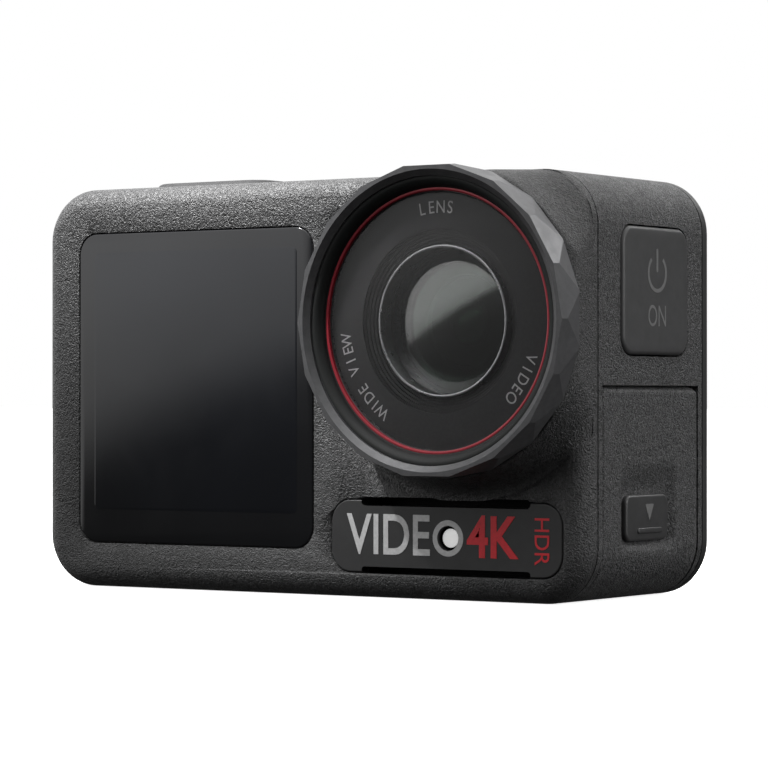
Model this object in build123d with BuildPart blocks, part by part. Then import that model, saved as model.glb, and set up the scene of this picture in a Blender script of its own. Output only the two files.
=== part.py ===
from build123d import *
import os

# Action camera: a rounded box with a front screen, a twist-off lens cover, a sprung record button
# on top, a power button and a hinged port cover on the right, and a battery that slides out left.
# Millimetres, +Z up, the front faces -Y. The origin is the middle of the base face.

os.makedirs("parts", exist_ok=True)

# ---------------------------------------------------------------- body
body_width = 69.6
body_depth = 26.1
body_height = 43.7
corner_radius = 5.75
front_edge_radius = 2.3
rear_edge_radius = 1.2
rear_frame_depth = 1.9
housing_wall = 1.8
bulkhead = 1.0
seam_width = 0.16
seam_depth = 0.35

# ---------------------------------------------------------------- clearances
panel_gap = 0.12
button_gap = 0.15
running_fit = 0.05
slide_gap = 0.25
hook_gap = 0.2

# ---------------------------------------------------------------- lens and its cover
lens_from_side = 14.45
lens_from_top = 15.27
boss_radius = 16.0
boss_height = 3.0
boss_fillet = 2.2
boss_rim_radius = 0.25
flare_root = 0.5
cover_depth = 3.6
cover_gap = 0.1
facet_count = 18
facet_taper = 5.0
facet_front_apothem = 15.52
facet_rear_apothem = 15.62
rim_radius = 15.15
rim_inner_radius = 14.55
rim_chamfer = 0.5
rim_groove_depth = 0.25
rim_groove_width = 0.12
funnel_radius = 13.45
glass_radius = 13.0
glass_thickness = 0.7
glass_recess = 2.0
mask_inner_radius = 9.3
mask_thickness = 0.15
accent_width = 0.45
accent_depth = 0.35
skirt_radius = 12.9
skirt_wall = 1.0
skirt_length = 2.4
lug_height = 0.75
lug_length = 1.0
lug_count = 3
lug_width = 5.6
twist_angle = 45.0

# ---------------------------------------------------------------- optics
barrel_radius = 11.4
barrel_recess = 0.3
barrel_tail_radius = 8.6
barrel_bore = 6.2
ear_offset = 1.0
ear_radius = 1.6
ear_thickness = 1.0
ear_count = 3
ear_start = 40
lens_screw_radius = 0.6
lens_screw_tip_gap = 0.2
lens_seal_width = 0.7
lens_seal_front = 1.3
lens_seal_rear = 0.5
baffle_radius = 9.5
baffle_steps = 5
baffle_step_drop = 0.2
baffle_floor = 0.6
dome_radius = 7.4
dome_curve = 15.0
dome_proud = 0.1
dome_seat_depth = 2.0
trim_wall = 0.3
middle_lens_radius = 4.8
middle_lens_thickness = 2.6
middle_lens_gap = 1.6
middle_lens_curve = 9.0
aperture_radius = 1.4
aperture_thickness = 0.3
aperture_gap = 0.6
rear_lens_radius = 4.4
rear_lens_thickness = 2.8
rear_lens_gap = 0.8
rear_lens_curve = 7.5
barrel_tail_length = 2.0
filter_thickness = 0.5
filter_gap = 0.6
sensor_width = 11.0
sensor_height = 8.4
sensor_thickness = 1.2
sensor_board_thickness = 0.8
sensor_board_size = 17.4
sensor_board_corner = 1.5
sensor_pocket_margin = 1.6

# ---------------------------------------------------------------- screens
screen_margin = 5.15
screen_to_boss = 0.35
screen_from_base = 4.98
screen_from_top = 5.0
screen_corner = 2.3
screen_thickness = 0.9
display_thickness = 1.5
display_ledge = 1.3
display_gap = 0.02
ledge_corner_step = 1.0
display_corner_step = 1.2
glass_edge_radius = 0.2
rear_glass_margin = 3.5
rear_glass_corner = 3.0
rear_glass_thickness = 1.0
rear_ledge = 1.8

# ---------------------------------------------------------------- name plate, slots and light sensor
plate_from_side = 2.63
plate_from_base = 2.7
plate_width = 27.97
plate_height = 7.47
plate_corner = 2.3
plate_thickness = 0.9
plate_edge_radius = 0.15
slot_length = 20.5
upper_slot_height = 0.94
upper_slot_z = 10.03
lower_slot_height = 0.74
lower_slot_z = 2.92
sensor_hole_radius = 1.27
sensor_hole_x = 18.6
sensor_hole_z = 6.43
sensor_window_recess = 0.25
sensor_window_thickness = 0.4
light_sensor_size = 1.6
light_sensor_thickness = 1.2

# ---------------------------------------------------------------- buttons
power_length = 13.67
power_height = 13.1
power_corner = 1.9
power_from_rear = 3.45
power_centre_z = 31.65
power_proud = 0.25
power_edge_radius = 0.3
power_travel = 0.4
record_length = 16.0
record_depth = 9.4
record_corner = 3.0
record_edge_radius = 0.7
record_from_side = 16.6
record_from_middle = -1.0
record_proud = 1.2
record_travel = 0.6
button_flange = 0.6
button_flange_thickness = 0.6
switch_size = 4.4
switch_thickness = 0.5
plunger_radius = 0.9
plunger_height = 0.25
press_gap = 0.05
bracket_thickness = 0.8
bracket_length = 10.0
bracket_height = 14.0

# ---------------------------------------------------------------- port cover
cover_front_margin = 1.06
cover_rear_margin = 1.1
cover_top = 21.86
cover_thickness = 1.3
cover_reach = 7.2
cover_corner = 1.0
knuckle_radius = 1.05
hinge_pin_radius = 0.45
pin_end = 0.4
bay_wall = 1.0
bay_depth = 2.9
bay_margin = 2.1
bay_floor = 4.0
bay_roof = 19.0
over_cut = 1.0
seal_depth = 1.1
seal_width = 0.9
seal_corner = 1.5
seal_inner_corner = 0.8
latch_length = 8.68
latch_height = 4.71
latch_corner = 1.2
latch_offset = -0.56
latch_centre_z = 8.48
latch_plate = 0.55
latch_edge_radius = 0.15
latch_neck_height = 2.0
latch_hook_length = 5.0
latch_hook_thickness = 0.8
latch_travel = 0.8
latch_neck = 3.0
scoop_depth = 0.75
scoop_top = 14.4
scoop_floor_top = 11.2
scoop_bottom = 5.15
scoop_half = 5.28
usb_width = 8.94
usb_height = 3.2
usb_length = 7.3
usb_z = 12.8
usb_wall = 0.3
usb_tongue_width = 6.69
usb_tongue_height = 0.7

# ---------------------------------------------------------------- battery
battery_to_ears = 1.0
battery_from_top = 5.0
battery_base = 5.0
electronics_depth = 6.68
battery_case_wall = 0.6
battery_corner = 1.5
battery_end_radius = 0.8
cell_corner = 1.0
sleeve_wall = 0.8
mouth_corner = 0.5
mouth_plate_thickness = 1.0
mouth_plate_margin = 0.7
mouth_plate_rear = 0.6
cap_thickness = 1.6
cap_corner = 2.4
cap_margin = 1.0
cap_front_margin = 1.33
cap_rear_margin = 0.95
cap_seal_width = 0.6
cap_seal_inset = 0.8
battery_latch_length = 7.0
battery_latch_height = 3.0
battery_latch_travel = 1.4
battery_latch_depth = 1.0
battery_latch_margin = 0.9
battery_latch_corner = 0.8
grip_count = 3
grip_depth = 0.3
grip_width = 0.3
grip_pitch = 0.8
grip_margin = 1.0
card_length = 15.0
card_height = 11.0
card_thickness = 0.8
card_corner = 0.7
card_base = 24.0
card_inset = 0.3
socket_wall = 0.5
contact_size = 1.6
contact_pitch = 3.0
contact_count = 4
contact_from_top = 4.0
contact_from_front = 2.0

# ---------------------------------------------------------------- boards and small pieces
board_thickness = 0.8
board_left_gap = 1.2
board_right_gap = 0.5
chip_height = 1.4
processor_left = -9.0
processor_base = 14.0
processor_size = 14.0
memory_left = 9.5
memory_base = 13.0
memory_width = 8.0
memory_length = 9.0
memory_pitch = 10.5
memory_count = 2
pad_thickness = 0.9
heat_plate_thickness = 0.8
heat_plate_gap = 0.5
heat_plate_corner = 2.0
lug_block = 4.2
lug_block_height = 3.0
lug_block_depth = 2.0
chassis_screw_x = 23.0
chassis_screw_radius = 0.7
chassis_screw_length = 1.8
screw_head_height = 0.6
screw_head_radius = 1.3
base_plate_width = 34.0
base_plate_depth = 18.0
base_plate_thickness = 1.2
light_x = -2.0
mic_front_y = -5.0
mic_rear_y = 5.5
claw_spacing = 25.0
claw_width = 3.2
claw_length = 8.0
claw_corner = 0.6
locator_spacing = 14.0
locator_radius = 1.25
magnet_radius = 3.5
magnet_thickness = 1.5
magnet_spacing = 12.0
speaker_length = 20.0
speaker_height = 8.2
speaker_thickness = 2.6
speaker_corner = 1.2
mesh_thickness = 0.2
mic_size = 2.6
mic_thickness = 0.9
mic_hole_radius = 0.45
mic_spacing = 13.0
light_radius = 0.6
light_length = 2.4
gasket_width = 0.5
gasket_inset = 0.95

# ---------------------------------------------------------------- places worked out from the sizes
half_width = body_width / 2
front_shell_depth = screen_thickness + display_thickness + display_gap
ear_circle = barrel_radius + ear_offset
front_y = -body_depth / 2
rear_y = body_depth / 2
mid_front_y = front_y + front_shell_depth
mid_rear_y = rear_y - rear_frame_depth
cavity_front_y = mid_front_y + bulkhead
inner_side_x = half_width - housing_wall
inner_top_z = body_height - housing_wall
lens_x = half_width - lens_from_side
lens_z = body_height - lens_from_top
boss_front_y = front_y - boss_height
ring_rear_y = boss_front_y - cover_gap
ring_front_y = ring_rear_y - cover_depth
glass_front_y = ring_front_y + glass_recess
glass_rear_y = glass_front_y + glass_thickness
mask_rear_y = glass_rear_y + mask_thickness
skirt_rear_y = ring_rear_y + skirt_length
barrel_front_y = mask_rear_y + barrel_recess
shoulder_y = skirt_rear_y + slide_gap
bore_radius = skirt_radius + cover_gap
lens_seal_y = (mid_front_y - lens_seal_front, mid_front_y - lens_seal_rear)
screen_left = -half_width + screen_margin
screen_right = lens_x - boss_radius - boss_fillet - screen_to_boss
screen_x = (screen_left, screen_right)
screen_z = (screen_from_base, body_height - screen_from_top)
plate_right = half_width - plate_from_side
plate_x = (plate_right - plate_width, plate_right)
plate_z = (plate_from_base, plate_from_base + plate_height)
plate_centre_x = (plate_x[0] + plate_x[1]) / 2
rear_glass_x = (-half_width + rear_glass_margin, half_width - rear_glass_margin)
rear_glass_z = (rear_glass_margin, body_height - rear_glass_margin)
rear_glass_front_y = rear_y - rear_glass_thickness
rear_display_front_y = rear_glass_front_y - display_thickness
cover_front_y = mid_front_y + cover_front_margin
cover_rear_y = mid_rear_y - cover_rear_margin
latch_centre_y = (cover_front_y + cover_rear_y) / 2 + latch_offset
power_centre_y = mid_rear_y - power_from_rear - power_length / 2
record_centre_y = record_from_middle
pivot_x = half_width - knuckle_radius
pivot_z = cover_top - knuckle_radius
cover_inner_x = half_width - cover_thickness
cover_reach_x = half_width - cover_reach
bay_back_x = cover_inner_x - panel_gap - bay_depth
bay_y = (cover_front_y + bay_margin, cover_rear_y - bay_margin)
bay_z = (bay_floor, bay_roof)
battery_left_x = -half_width + cap_thickness
battery_right_x = min(
    lens_x - ear_circle - ear_radius - battery_to_ears,
    plate_centre_x - speaker_length / 2 - slide_gap - sleeve_wall - panel_gap,
)
sleeve_front_y = cavity_front_y
battery_front_y = sleeve_front_y + sleeve_wall + slide_gap
sleeve_rear_y = mid_rear_y - electronics_depth
battery_rear_y = sleeve_rear_y - slide_gap - sleeve_wall
tail_rear_y = sleeve_rear_y - barrel_tail_length
battery_y = (battery_front_y, battery_rear_y)
battery_z = (battery_base, body_height - battery_from_top)
cap_y = (mid_front_y + cap_front_margin, mid_rear_y - cap_rear_margin)
cap_z = (battery_z[0] - cap_margin, battery_z[1] + cap_margin)
sleeve_base = battery_base - slide_gap - sleeve_wall
sleeve_top = battery_z[1] + slide_gap + sleeve_wall
sleeve_right_x = battery_right_x + slide_gap + sleeve_wall
board_y = (sleeve_rear_y, sleeve_rear_y + board_thickness)
chip_y = (board_y[1], board_y[1] + chip_height)
pad_y = (chip_y[1], chip_y[1] + pad_thickness)
heat_y = (pad_y[1], pad_y[1] + heat_plate_thickness)
record_x = -half_width + record_from_side
record_top_z = body_height + record_proud
record_flange_top = inner_top_z - button_gap
power_flange_x = inner_side_x - button_gap
power_switch_x = power_flange_x - button_flange_thickness - power_travel - press_gap
power_y = (power_centre_y - power_length / 2, power_centre_y + power_length / 2)
power_z = (power_centre_z - power_height / 2, power_centre_z + power_height / 2)
record_length_x = (record_x - record_length / 2, record_x + record_length / 2)
record_depth_y = (record_centre_y - record_depth / 2, record_centre_y + record_depth / 2)
bay_block_x = bay_back_x - bay_wall
mic_places = ((light_x, mic_front_y), (light_x + mic_spacing, mic_rear_y))
pin_y = (cover_front_y - pin_end, cover_rear_y + pin_end)
card_x = (-inner_side_x + card_inset, -inner_side_x + card_inset + card_length)
card_y = (board_y[1] + socket_wall + panel_gap, board_y[1] + socket_wall + panel_gap + card_thickness)
card_z = (card_base, card_base + card_height)


# ---------------------------------------------------------------- ways of drawing
def across(y):
    """Plane at depth y that faces the front, drawn in X and Z."""
    return Plane.XZ.offset(-y)


def beside(x):
    """Plane at width x that faces right, drawn in Y and Z."""
    return Plane.YZ.offset(x)


def outline(inset=0.0, mode=Mode.ADD):
    """Rounded outline of the body, seen from the front."""
    with Locations((0, body_height / 2)):
        RectangleRounded(
            body_width - 2 * inset, body_height - 2 * inset, corner_radius - inset, mode=mode
        )


def panel(across_limits, up_limits, radius, inset=0.0, mode=Mode.ADD):
    """Rounded panel between two pairs of limits."""
    with Locations((sum(across_limits) / 2, sum(up_limits) / 2)):
        RectangleRounded(
            across_limits[1] - across_limits[0] - 2 * inset,
            up_limits[1] - up_limits[0] - 2 * inset,
            radius,
            mode=mode,
        )


def block(x, y, z, mode=Mode.ADD):
    """Box between three pairs of limits."""
    with Locations((sum(x) / 2, sum(y) / 2, sum(z) / 2)):
        Box(x[1] - x[0], y[1] - y[0], z[1] - z[0], mode=mode)


def lens_disc(radius, near_y, far_y, mode=Mode.ADD):
    """Disc on the lens axis between two depths."""
    with BuildSketch(across(near_y)) as disc:
        with Locations((lens_x, lens_z)):
            Circle(radius)
    extrude(disc.sketch, amount=near_y - far_y, mode=mode)


def sound_slots(near_y, far_y):
    """The two long slots at the upper and lower edge of the name plate."""
    with BuildSketch(across(near_y)) as slots:
        with Locations((plate_centre_x, upper_slot_z)):
            SlotOverall(slot_length, upper_slot_height)
        with Locations((plate_centre_x, lower_slot_z)):
            SlotOverall(slot_length, lower_slot_height)
    extrude(slots.sketch, amount=near_y - far_y, mode=Mode.SUBTRACT)


def cover_profile(gap=0.0):
    """Band that follows the right side and the lower corner, with a round knuckle on top."""
    outline()
    outline(inset=cover_thickness + gap, mode=Mode.SUBTRACT)
    left = cover_reach_x - gap
    with Locations(((left + half_width) / 2, pivot_z / 2)):
        Rectangle(half_width - left, pivot_z, mode=Mode.INTERSECT)
    with Locations((pivot_x, pivot_z)):
        Circle(knuckle_radius + gap)
    if gap > 0:
        with Locations((pivot_x, pivot_z)):
            Rectangle(knuckle_radius, knuckle_radius + gap, align=(Align.MIN, Align.MIN))


def rear_display_outline(gap=0.0):
    """Outline of the rear display, with room round it when a gap is given."""
    panel(
        rear_glass_x,
        rear_glass_z,
        rear_glass_corner - display_corner_step + gap,
        inset=rear_ledge + panel_gap - gap,
    )


# ================================================================ outer shells
lens_axis = Axis((lens_x, 0, lens_z), (0, 1, 0))

# Hollow curve at the foot of the lens boss. It stops short of the rounded edge of the body.
with BuildPart() as boss_flare:
    with BuildSketch(Plane.XY.offset(lens_z)):
        with BuildLine():
            flare_arc = RadiusArc(
                (lens_x + boss_radius, front_y - boss_fillet),
                (lens_x + boss_radius + boss_fillet, front_y),
                -boss_fillet,
            )
            Polyline(
                flare_arc @ 1,
                (lens_x + boss_radius + boss_fillet, front_y + flare_root),
                (lens_x + boss_radius - flare_root, front_y + flare_root),
                (lens_x + boss_radius - flare_root, front_y - boss_fillet),
                flare_arc @ 0,
            )
        make_face()
    revolve(axis=lens_axis)
    with BuildSketch(across(mid_front_y)):
        outline(inset=front_edge_radius / 2)
    extrude(amount=front_shell_depth + boss_height, mode=Mode.INTERSECT)

with BuildPart() as front_shell:
    with BuildSketch(across(mid_front_y)):
        outline()
    extrude(amount=front_shell_depth)
    fillet(front_shell.edges().group_by(Axis.Y)[0], front_edge_radius)
    with BuildSketch(across(mid_front_y)):
        with Locations((lens_x, lens_z)):
            Circle(boss_radius)
        outline(mode=Mode.INTERSECT)
    extrude(amount=front_shell_depth + boss_height)
    add(boss_flare.part)
    boss_rim = front_shell.edges().group_by(Axis.Y)[0]
    fillet(boss_rim, boss_rim_radius)
    # Stepped bore for the lens cover, its lugs and the lens barrel.
    lens_disc(bore_radius, boss_front_y, shoulder_y, Mode.SUBTRACT)
    groove_y = shoulder_y - lug_length - 2 * slide_gap
    lens_disc(skirt_radius + lug_height + cover_gap, groove_y, shoulder_y, Mode.SUBTRACT)
    lens_disc(barrel_radius + panel_gap, shoulder_y, mid_front_y, Mode.SUBTRACT)
    lens_disc(barrel_radius + lens_seal_width, lens_seal_y[0], lens_seal_y[1], Mode.SUBTRACT)
    # Entry notches that the lugs of the cover drop through after its twist.
    with BuildSketch(across(boss_front_y)):
        with Locations((lens_x, lens_z)):
            with PolarLocations(skirt_radius, lug_count, start_angle=90 + twist_angle):
                Rectangle(2 * lug_height + 2 * cover_gap, lug_width + 2 * hook_gap)
    extrude(amount=boss_front_y - groove_y, mode=Mode.SUBTRACT)
    # Window and ledge for the front screen, seat for the name plate, slots for the speaker.
    with BuildSketch(across(front_y)):
        panel(screen_x, screen_z, screen_corner + panel_gap, inset=-panel_gap)
    extrude(amount=-screen_thickness, mode=Mode.SUBTRACT)
    with BuildSketch(across(front_y)):
        panel(screen_x, screen_z, screen_corner - ledge_corner_step, inset=display_ledge)
    extrude(amount=-front_shell_depth, mode=Mode.SUBTRACT)
    with BuildSketch(across(front_y)):
        panel(plate_x, plate_z, plate_corner + panel_gap, inset=-panel_gap)
    extrude(amount=-plate_thickness, mode=Mode.SUBTRACT)
    sound_slots(front_y, mid_front_y)
    with BuildSketch(across(front_y)):
        with Locations((sensor_hole_x, sensor_hole_z)):
            Circle(sensor_hole_radius)
    extrude(amount=-front_shell_depth, mode=Mode.SUBTRACT)
front_shell.part.label = "front_shell"
export_step(front_shell.part, "parts/front_shell.step")

with BuildPart() as mid_housing:
    with BuildSketch(across(mid_front_y)):
        outline()
    extrude(amount=mid_front_y - mid_rear_y)
    with BuildSketch(across(cavity_front_y)):
        outline(inset=housing_wall)
    extrude(amount=cavity_front_y - mid_rear_y, mode=Mode.SUBTRACT)
    # Wall round the port bay, behind the port cover.
    with BuildSketch(across(cover_front_y - bay_wall)):
        outline()
        with Locations(((bay_block_x + half_width) / 2, (cover_top + bay_wall) / 2)):
            Rectangle(half_width - bay_block_x, cover_top + bay_wall, mode=Mode.INTERSECT)
    extrude(amount=cover_front_y - cover_rear_y - 2 * bay_wall)
    with BuildSketch(across(cover_front_y - panel_gap)):
        cover_profile(gap=panel_gap)
    extrude(amount=cover_front_y - cover_rear_y - 2 * panel_gap, mode=Mode.SUBTRACT)
    block((bay_back_x, half_width), bay_y, bay_z, Mode.SUBTRACT)
    # Room for the rear display beside the wall of the bay.
    with BuildSketch(across(rear_display_front_y - running_fit)):
        rear_display_outline(gap=running_fit)
    extrude(amount=rear_display_front_y - running_fit - mid_rear_y, mode=Mode.SUBTRACT)
    # Hole for the socket, and holes for the hinge pin past both ends of the cover.
    with BuildSketch(beside(bay_back_x)):
        with Locations((latch_centre_y, usb_z)):
            SlotOverall(usb_width, usb_height)
    extrude(amount=-bay_wall, mode=Mode.SUBTRACT)
    with BuildSketch(across(pin_y[0])):
        with Locations((pivot_x, pivot_z)):
            Circle(hinge_pin_radius)
    extrude(amount=pin_y[0] - pin_y[1], mode=Mode.SUBTRACT)
    # Power button hole on the right, record button hole on top.
    with BuildSketch(beside(inner_side_x)):
        panel(power_y, power_z, power_corner + button_gap, inset=-button_gap)
    extrude(amount=housing_wall, mode=Mode.SUBTRACT)
    with BuildSketch(Plane.XY.offset(inner_top_z)):
        panel(record_length_x, record_depth_y, record_corner + button_gap, inset=-button_gap)
    extrude(amount=housing_wall, mode=Mode.SUBTRACT)
    # Battery mouth on the left.
    with BuildSketch(beside(-half_width)):
        panel(cap_y, cap_z, cap_corner + panel_gap, inset=-panel_gap)
    extrude(amount=housing_wall, mode=Mode.SUBTRACT)
    with BuildSketch(beside(-half_width)):
        panel(battery_y, battery_z, mouth_corner, inset=-slide_gap)
    extrude(amount=2 * housing_wall, mode=Mode.SUBTRACT)
    # Lens hole, its screw holes and the sound openings in the front wall.
    lens_disc(barrel_radius + panel_gap, mid_front_y, cavity_front_y, Mode.SUBTRACT)
    with BuildSketch(across(mid_front_y + lens_screw_tip_gap)):
        with Locations((lens_x, lens_z)):
            with PolarLocations(ear_circle, ear_count, start_angle=ear_start):
                Circle(lens_screw_radius)
    extrude(amount=lens_screw_tip_gap - bulkhead, mode=Mode.SUBTRACT)
    sound_slots(mid_front_y, cavity_front_y)
    with BuildSketch(across(mid_front_y)):
        with Locations((sensor_hole_x, sensor_hole_z)):
            Circle(sensor_hole_radius)
    extrude(amount=-bulkhead, mode=Mode.SUBTRACT)
    # Lugs that carry the heat plate.
    lug_y = (heat_y[0] - lug_block_depth, heat_y[0])
    lug_rows = (
        (housing_wall, housing_wall + lug_block_height),
        (inner_top_z - lug_block_height, inner_top_z),
    )
    for side in (-1, 1):
        lug_x = (side * chassis_screw_x - lug_block / 2, side * chassis_screw_x + lug_block / 2)
        for lug_z in lug_rows:
            block(lug_x, lug_y, lug_z)
    with BuildSketch(across(heat_y[0])):
        for side in (-1, 1):
            for lug_z in lug_rows:
                with Locations((side * chassis_screw_x, sum(lug_z) / 2)):
                    Circle(chassis_screw_radius)
    extrude(amount=chassis_screw_length, mode=Mode.SUBTRACT)
    # Seat of the base plate, sound holes and light hole in the top, thin seams at both ends.
    block(
        (-base_plate_width / 2, base_plate_width / 2),
        (-base_plate_depth / 2, base_plate_depth / 2),
        (0, base_plate_thickness),
        Mode.SUBTRACT,
    )
    with BuildSketch(Plane.XY.offset(inner_top_z)):
        with Locations(*mic_places):
            Circle(mic_hole_radius)
        with Locations((light_x, 0)):
            Circle(light_radius)
    extrude(amount=housing_wall, mode=Mode.SUBTRACT)
    for seam_y in (mid_front_y, mid_rear_y - seam_width):
        with BuildSketch(across(seam_y)):
            outline()
            outline(inset=seam_depth, mode=Mode.SUBTRACT)
        extrude(amount=-seam_width, mode=Mode.SUBTRACT)
    for gasket_y in (mid_front_y, mid_rear_y - gasket_width):
        with BuildSketch(across(gasket_y)):
            outline(inset=gasket_inset - gasket_width / 2)
            outline(inset=gasket_inset + gasket_width / 2, mode=Mode.SUBTRACT)
        extrude(amount=-gasket_width, mode=Mode.SUBTRACT)
mid_housing.part.label = "mid_housing"
export_step(mid_housing.part, "parts/mid_housing.step")

with BuildPart() as rear_frame:
    with BuildSketch(across(mid_rear_y)):
        outline()
    extrude(amount=-rear_frame_depth)
    fillet(rear_frame.edges().group_by(Axis.Y)[-1], rear_edge_radius)
    with BuildSketch(across(rear_glass_front_y)):
        panel(rear_glass_x, rear_glass_z, rear_glass_corner + panel_gap, inset=-panel_gap)
    extrude(amount=-rear_glass_thickness, mode=Mode.SUBTRACT)
    with BuildSketch(across(mid_rear_y)):
        panel(rear_glass_x, rear_glass_z, rear_glass_corner - ledge_corner_step, inset=rear_ledge)
    extrude(amount=-rear_frame_depth, mode=Mode.SUBTRACT)
rear_frame.part.label = "rear_frame"
export_step(rear_frame.part, "parts/rear_frame.step")

for gasket_name, gasket_y in (("front_gasket", mid_front_y), ("rear_gasket", mid_rear_y - gasket_width)):
    with BuildPart() as gasket:
        with BuildSketch(across(gasket_y)):
            outline(inset=gasket_inset - gasket_width / 2)
            outline(inset=gasket_inset + gasket_width / 2, mode=Mode.SUBTRACT)
        extrude(amount=-gasket_width)
    gasket.part.label = gasket_name
    export_step(gasket.part, f"parts/{gasket_name}.step")

# ================================================================ screens
with BuildPart() as front_screen_glass:
    with BuildSketch(across(front_y)):
        panel(screen_x, screen_z, screen_corner)
    extrude(amount=-screen_thickness)
    fillet(front_screen_glass.edges().group_by(Axis.Y)[0], glass_edge_radius)
front_screen_glass.part.label = "front_screen_glass"
export_step(front_screen_glass.part, "parts/front_screen_glass.step")

with BuildPart() as front_display:
    with BuildSketch(across(front_y + screen_thickness)):
        panel(
            screen_x,
            screen_z,
            screen_corner - display_corner_step,
            inset=display_ledge + panel_gap,
        )
    extrude(amount=-display_thickness)
front_display.part.label = "front_display"
export_step(front_display.part, "parts/front_display.step")

with BuildPart() as rear_screen_glass:
    with BuildSketch(across(rear_glass_front_y)):
        panel(rear_glass_x, rear_glass_z, rear_glass_corner)
    extrude(amount=-rear_glass_thickness)
    fillet(rear_screen_glass.edges().group_by(Axis.Y)[-1], glass_edge_radius)
rear_screen_glass.part.label = "rear_screen_glass"
export_step(rear_screen_glass.part, "parts/rear_screen_glass.step")

with BuildPart() as rear_display:
    with BuildSketch(across(rear_display_front_y)):
        rear_display_outline()
    extrude(amount=-display_thickness)
rear_display.part.label = "rear_display"
export_step(rear_display.part, "parts/rear_display.step")

# ================================================================ name plate and speaker
with BuildPart() as name_plate:
    with BuildSketch(across(front_y)):
        panel(plate_x, plate_z, plate_corner)
    extrude(amount=-plate_thickness)
    fillet(name_plate.edges().group_by(Axis.Y)[0], plate_edge_radius)
    sound_slots(front_y, front_y + plate_thickness)
    with BuildSketch(across(front_y)):
        with Locations((sensor_hole_x, sensor_hole_z)):
            Circle(sensor_hole_radius)
    extrude(amount=-plate_thickness, mode=Mode.SUBTRACT)
name_plate.part.label = "name_plate"
export_step(name_plate.part, "parts/name_plate.step")

sensor_window_y = front_y + sensor_window_recess
with BuildPart() as light_sensor_window:
    with BuildSketch(across(sensor_window_y)):
        with Locations((sensor_hole_x, sensor_hole_z)):
            Circle(sensor_hole_radius)
    extrude(amount=-sensor_window_thickness)
light_sensor_window.part.label = "light_sensor_window"
export_step(light_sensor_window.part, "parts/light_sensor_window.step")

with BuildPart() as light_sensor:
    with BuildSketch(across(sensor_window_y + sensor_window_thickness)):
        with Locations((sensor_hole_x, sensor_hole_z)):
            Rectangle(light_sensor_size, light_sensor_size)
    extrude(amount=-light_sensor_thickness)
light_sensor.part.label = "light_sensor"
export_step(light_sensor.part, "parts/light_sensor.step")

with BuildPart() as speaker_mesh:
    with BuildSketch(across(cavity_front_y)):
        with Locations((plate_centre_x, (upper_slot_z + lower_slot_z) / 2)):
            Rectangle(speaker_length, speaker_height)
    extrude(amount=-mesh_thickness)
speaker_mesh.part.label = "speaker_mesh"
export_step(speaker_mesh.part, "parts/speaker_mesh.step")

with BuildPart() as speaker:
    with BuildSketch(across(cavity_front_y + mesh_thickness)):
        with Locations((plate_centre_x, (upper_slot_z + lower_slot_z) / 2)):
            RectangleRounded(speaker_length, speaker_height, speaker_corner)
    extrude(amount=-speaker_thickness)
speaker.part.label = "speaker"
export_step(speaker.part, "parts/speaker.step")

# ================================================================ lens cover: ring, glass, mask
rim_groove_y = ring_front_y + rim_chamfer + rim_groove_depth
with BuildPart() as lens_cover_ring:
    # Two tapered polygons, half a facet apart, meet in a zigzag row of cut facets.
    with BuildSketch(across(ring_front_y)):
        with Locations((lens_x, lens_z)):
            RegularPolygon(facet_front_apothem, facet_count, major_radius=False)
    extrude(amount=-cover_depth, taper=-facet_taper)
    with BuildSketch(across(ring_rear_y)):
        with Locations((lens_x, lens_z)):
            RegularPolygon(
                facet_rear_apothem, facet_count, major_radius=False, rotation=180 / facet_count
            )
    extrude(amount=cover_depth, taper=-facet_taper, mode=Mode.INTERSECT)
    # Skirt and its three lugs behind the ring.
    lens_disc(skirt_radius, ring_rear_y, skirt_rear_y)
    with BuildSketch(across(skirt_rear_y - lug_length)):
        with Locations((lens_x, lens_z)):
            with PolarLocations(skirt_radius, lug_count, start_angle=90):
                Rectangle(2 * lug_height, lug_width)
            Circle(skirt_radius + lug_height, mode=Mode.INTERSECT)
            Circle(skirt_radius - skirt_wall / 2, mode=Mode.SUBTRACT)
    extrude(amount=-lug_length)
    # Opening: rim chamfer, funnel, seat of the accent ring and of the glass, bore of the skirt.
    with BuildSketch(Plane.XY.offset(lens_z)) as opening:
        with BuildLine():
            Polyline(
                (lens_x, ring_front_y),
                (lens_x + rim_radius, ring_front_y),
                (lens_x + rim_inner_radius, ring_front_y + rim_chamfer),
                (lens_x + rim_inner_radius, rim_groove_y),
                (lens_x + rim_inner_radius - rim_groove_width, rim_groove_y),
                (lens_x + funnel_radius, glass_front_y - accent_depth),
                (lens_x + funnel_radius, glass_front_y),
                (lens_x + glass_radius, glass_front_y),
                (lens_x + glass_radius, mask_rear_y),
                (lens_x + skirt_radius - skirt_wall, mask_rear_y),
                (lens_x + skirt_radius - skirt_wall, skirt_rear_y),
                (lens_x, skirt_rear_y),
                close=True,
            )
        make_face()
    revolve(axis=lens_axis, mode=Mode.SUBTRACT)
lens_cover_ring.part.label = "lens_cover_ring"
export_step(lens_cover_ring.part, "parts/lens_cover_ring.step")

with BuildPart() as cover_glass:
    lens_disc(glass_radius, glass_front_y, glass_rear_y)
cover_glass.part.label = "cover_glass"
export_step(cover_glass.part, "parts/cover_glass.step")

with BuildPart() as glass_mask:
    lens_disc(glass_radius, glass_rear_y, mask_rear_y)
    lens_disc(mask_inner_radius, glass_rear_y, mask_rear_y, Mode.SUBTRACT)
glass_mask.part.label = "glass_mask"
export_step(glass_mask.part, "parts/glass_mask.step")

with BuildPart() as accent_ring:
    lens_disc(funnel_radius, glass_front_y - accent_depth, glass_front_y)
    lens_disc(funnel_radius - accent_width, glass_front_y - accent_depth, glass_front_y, Mode.SUBTRACT)
accent_ring.part.label = "accent_ring"
export_step(accent_ring.part, "parts/accent_ring.step")

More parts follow.
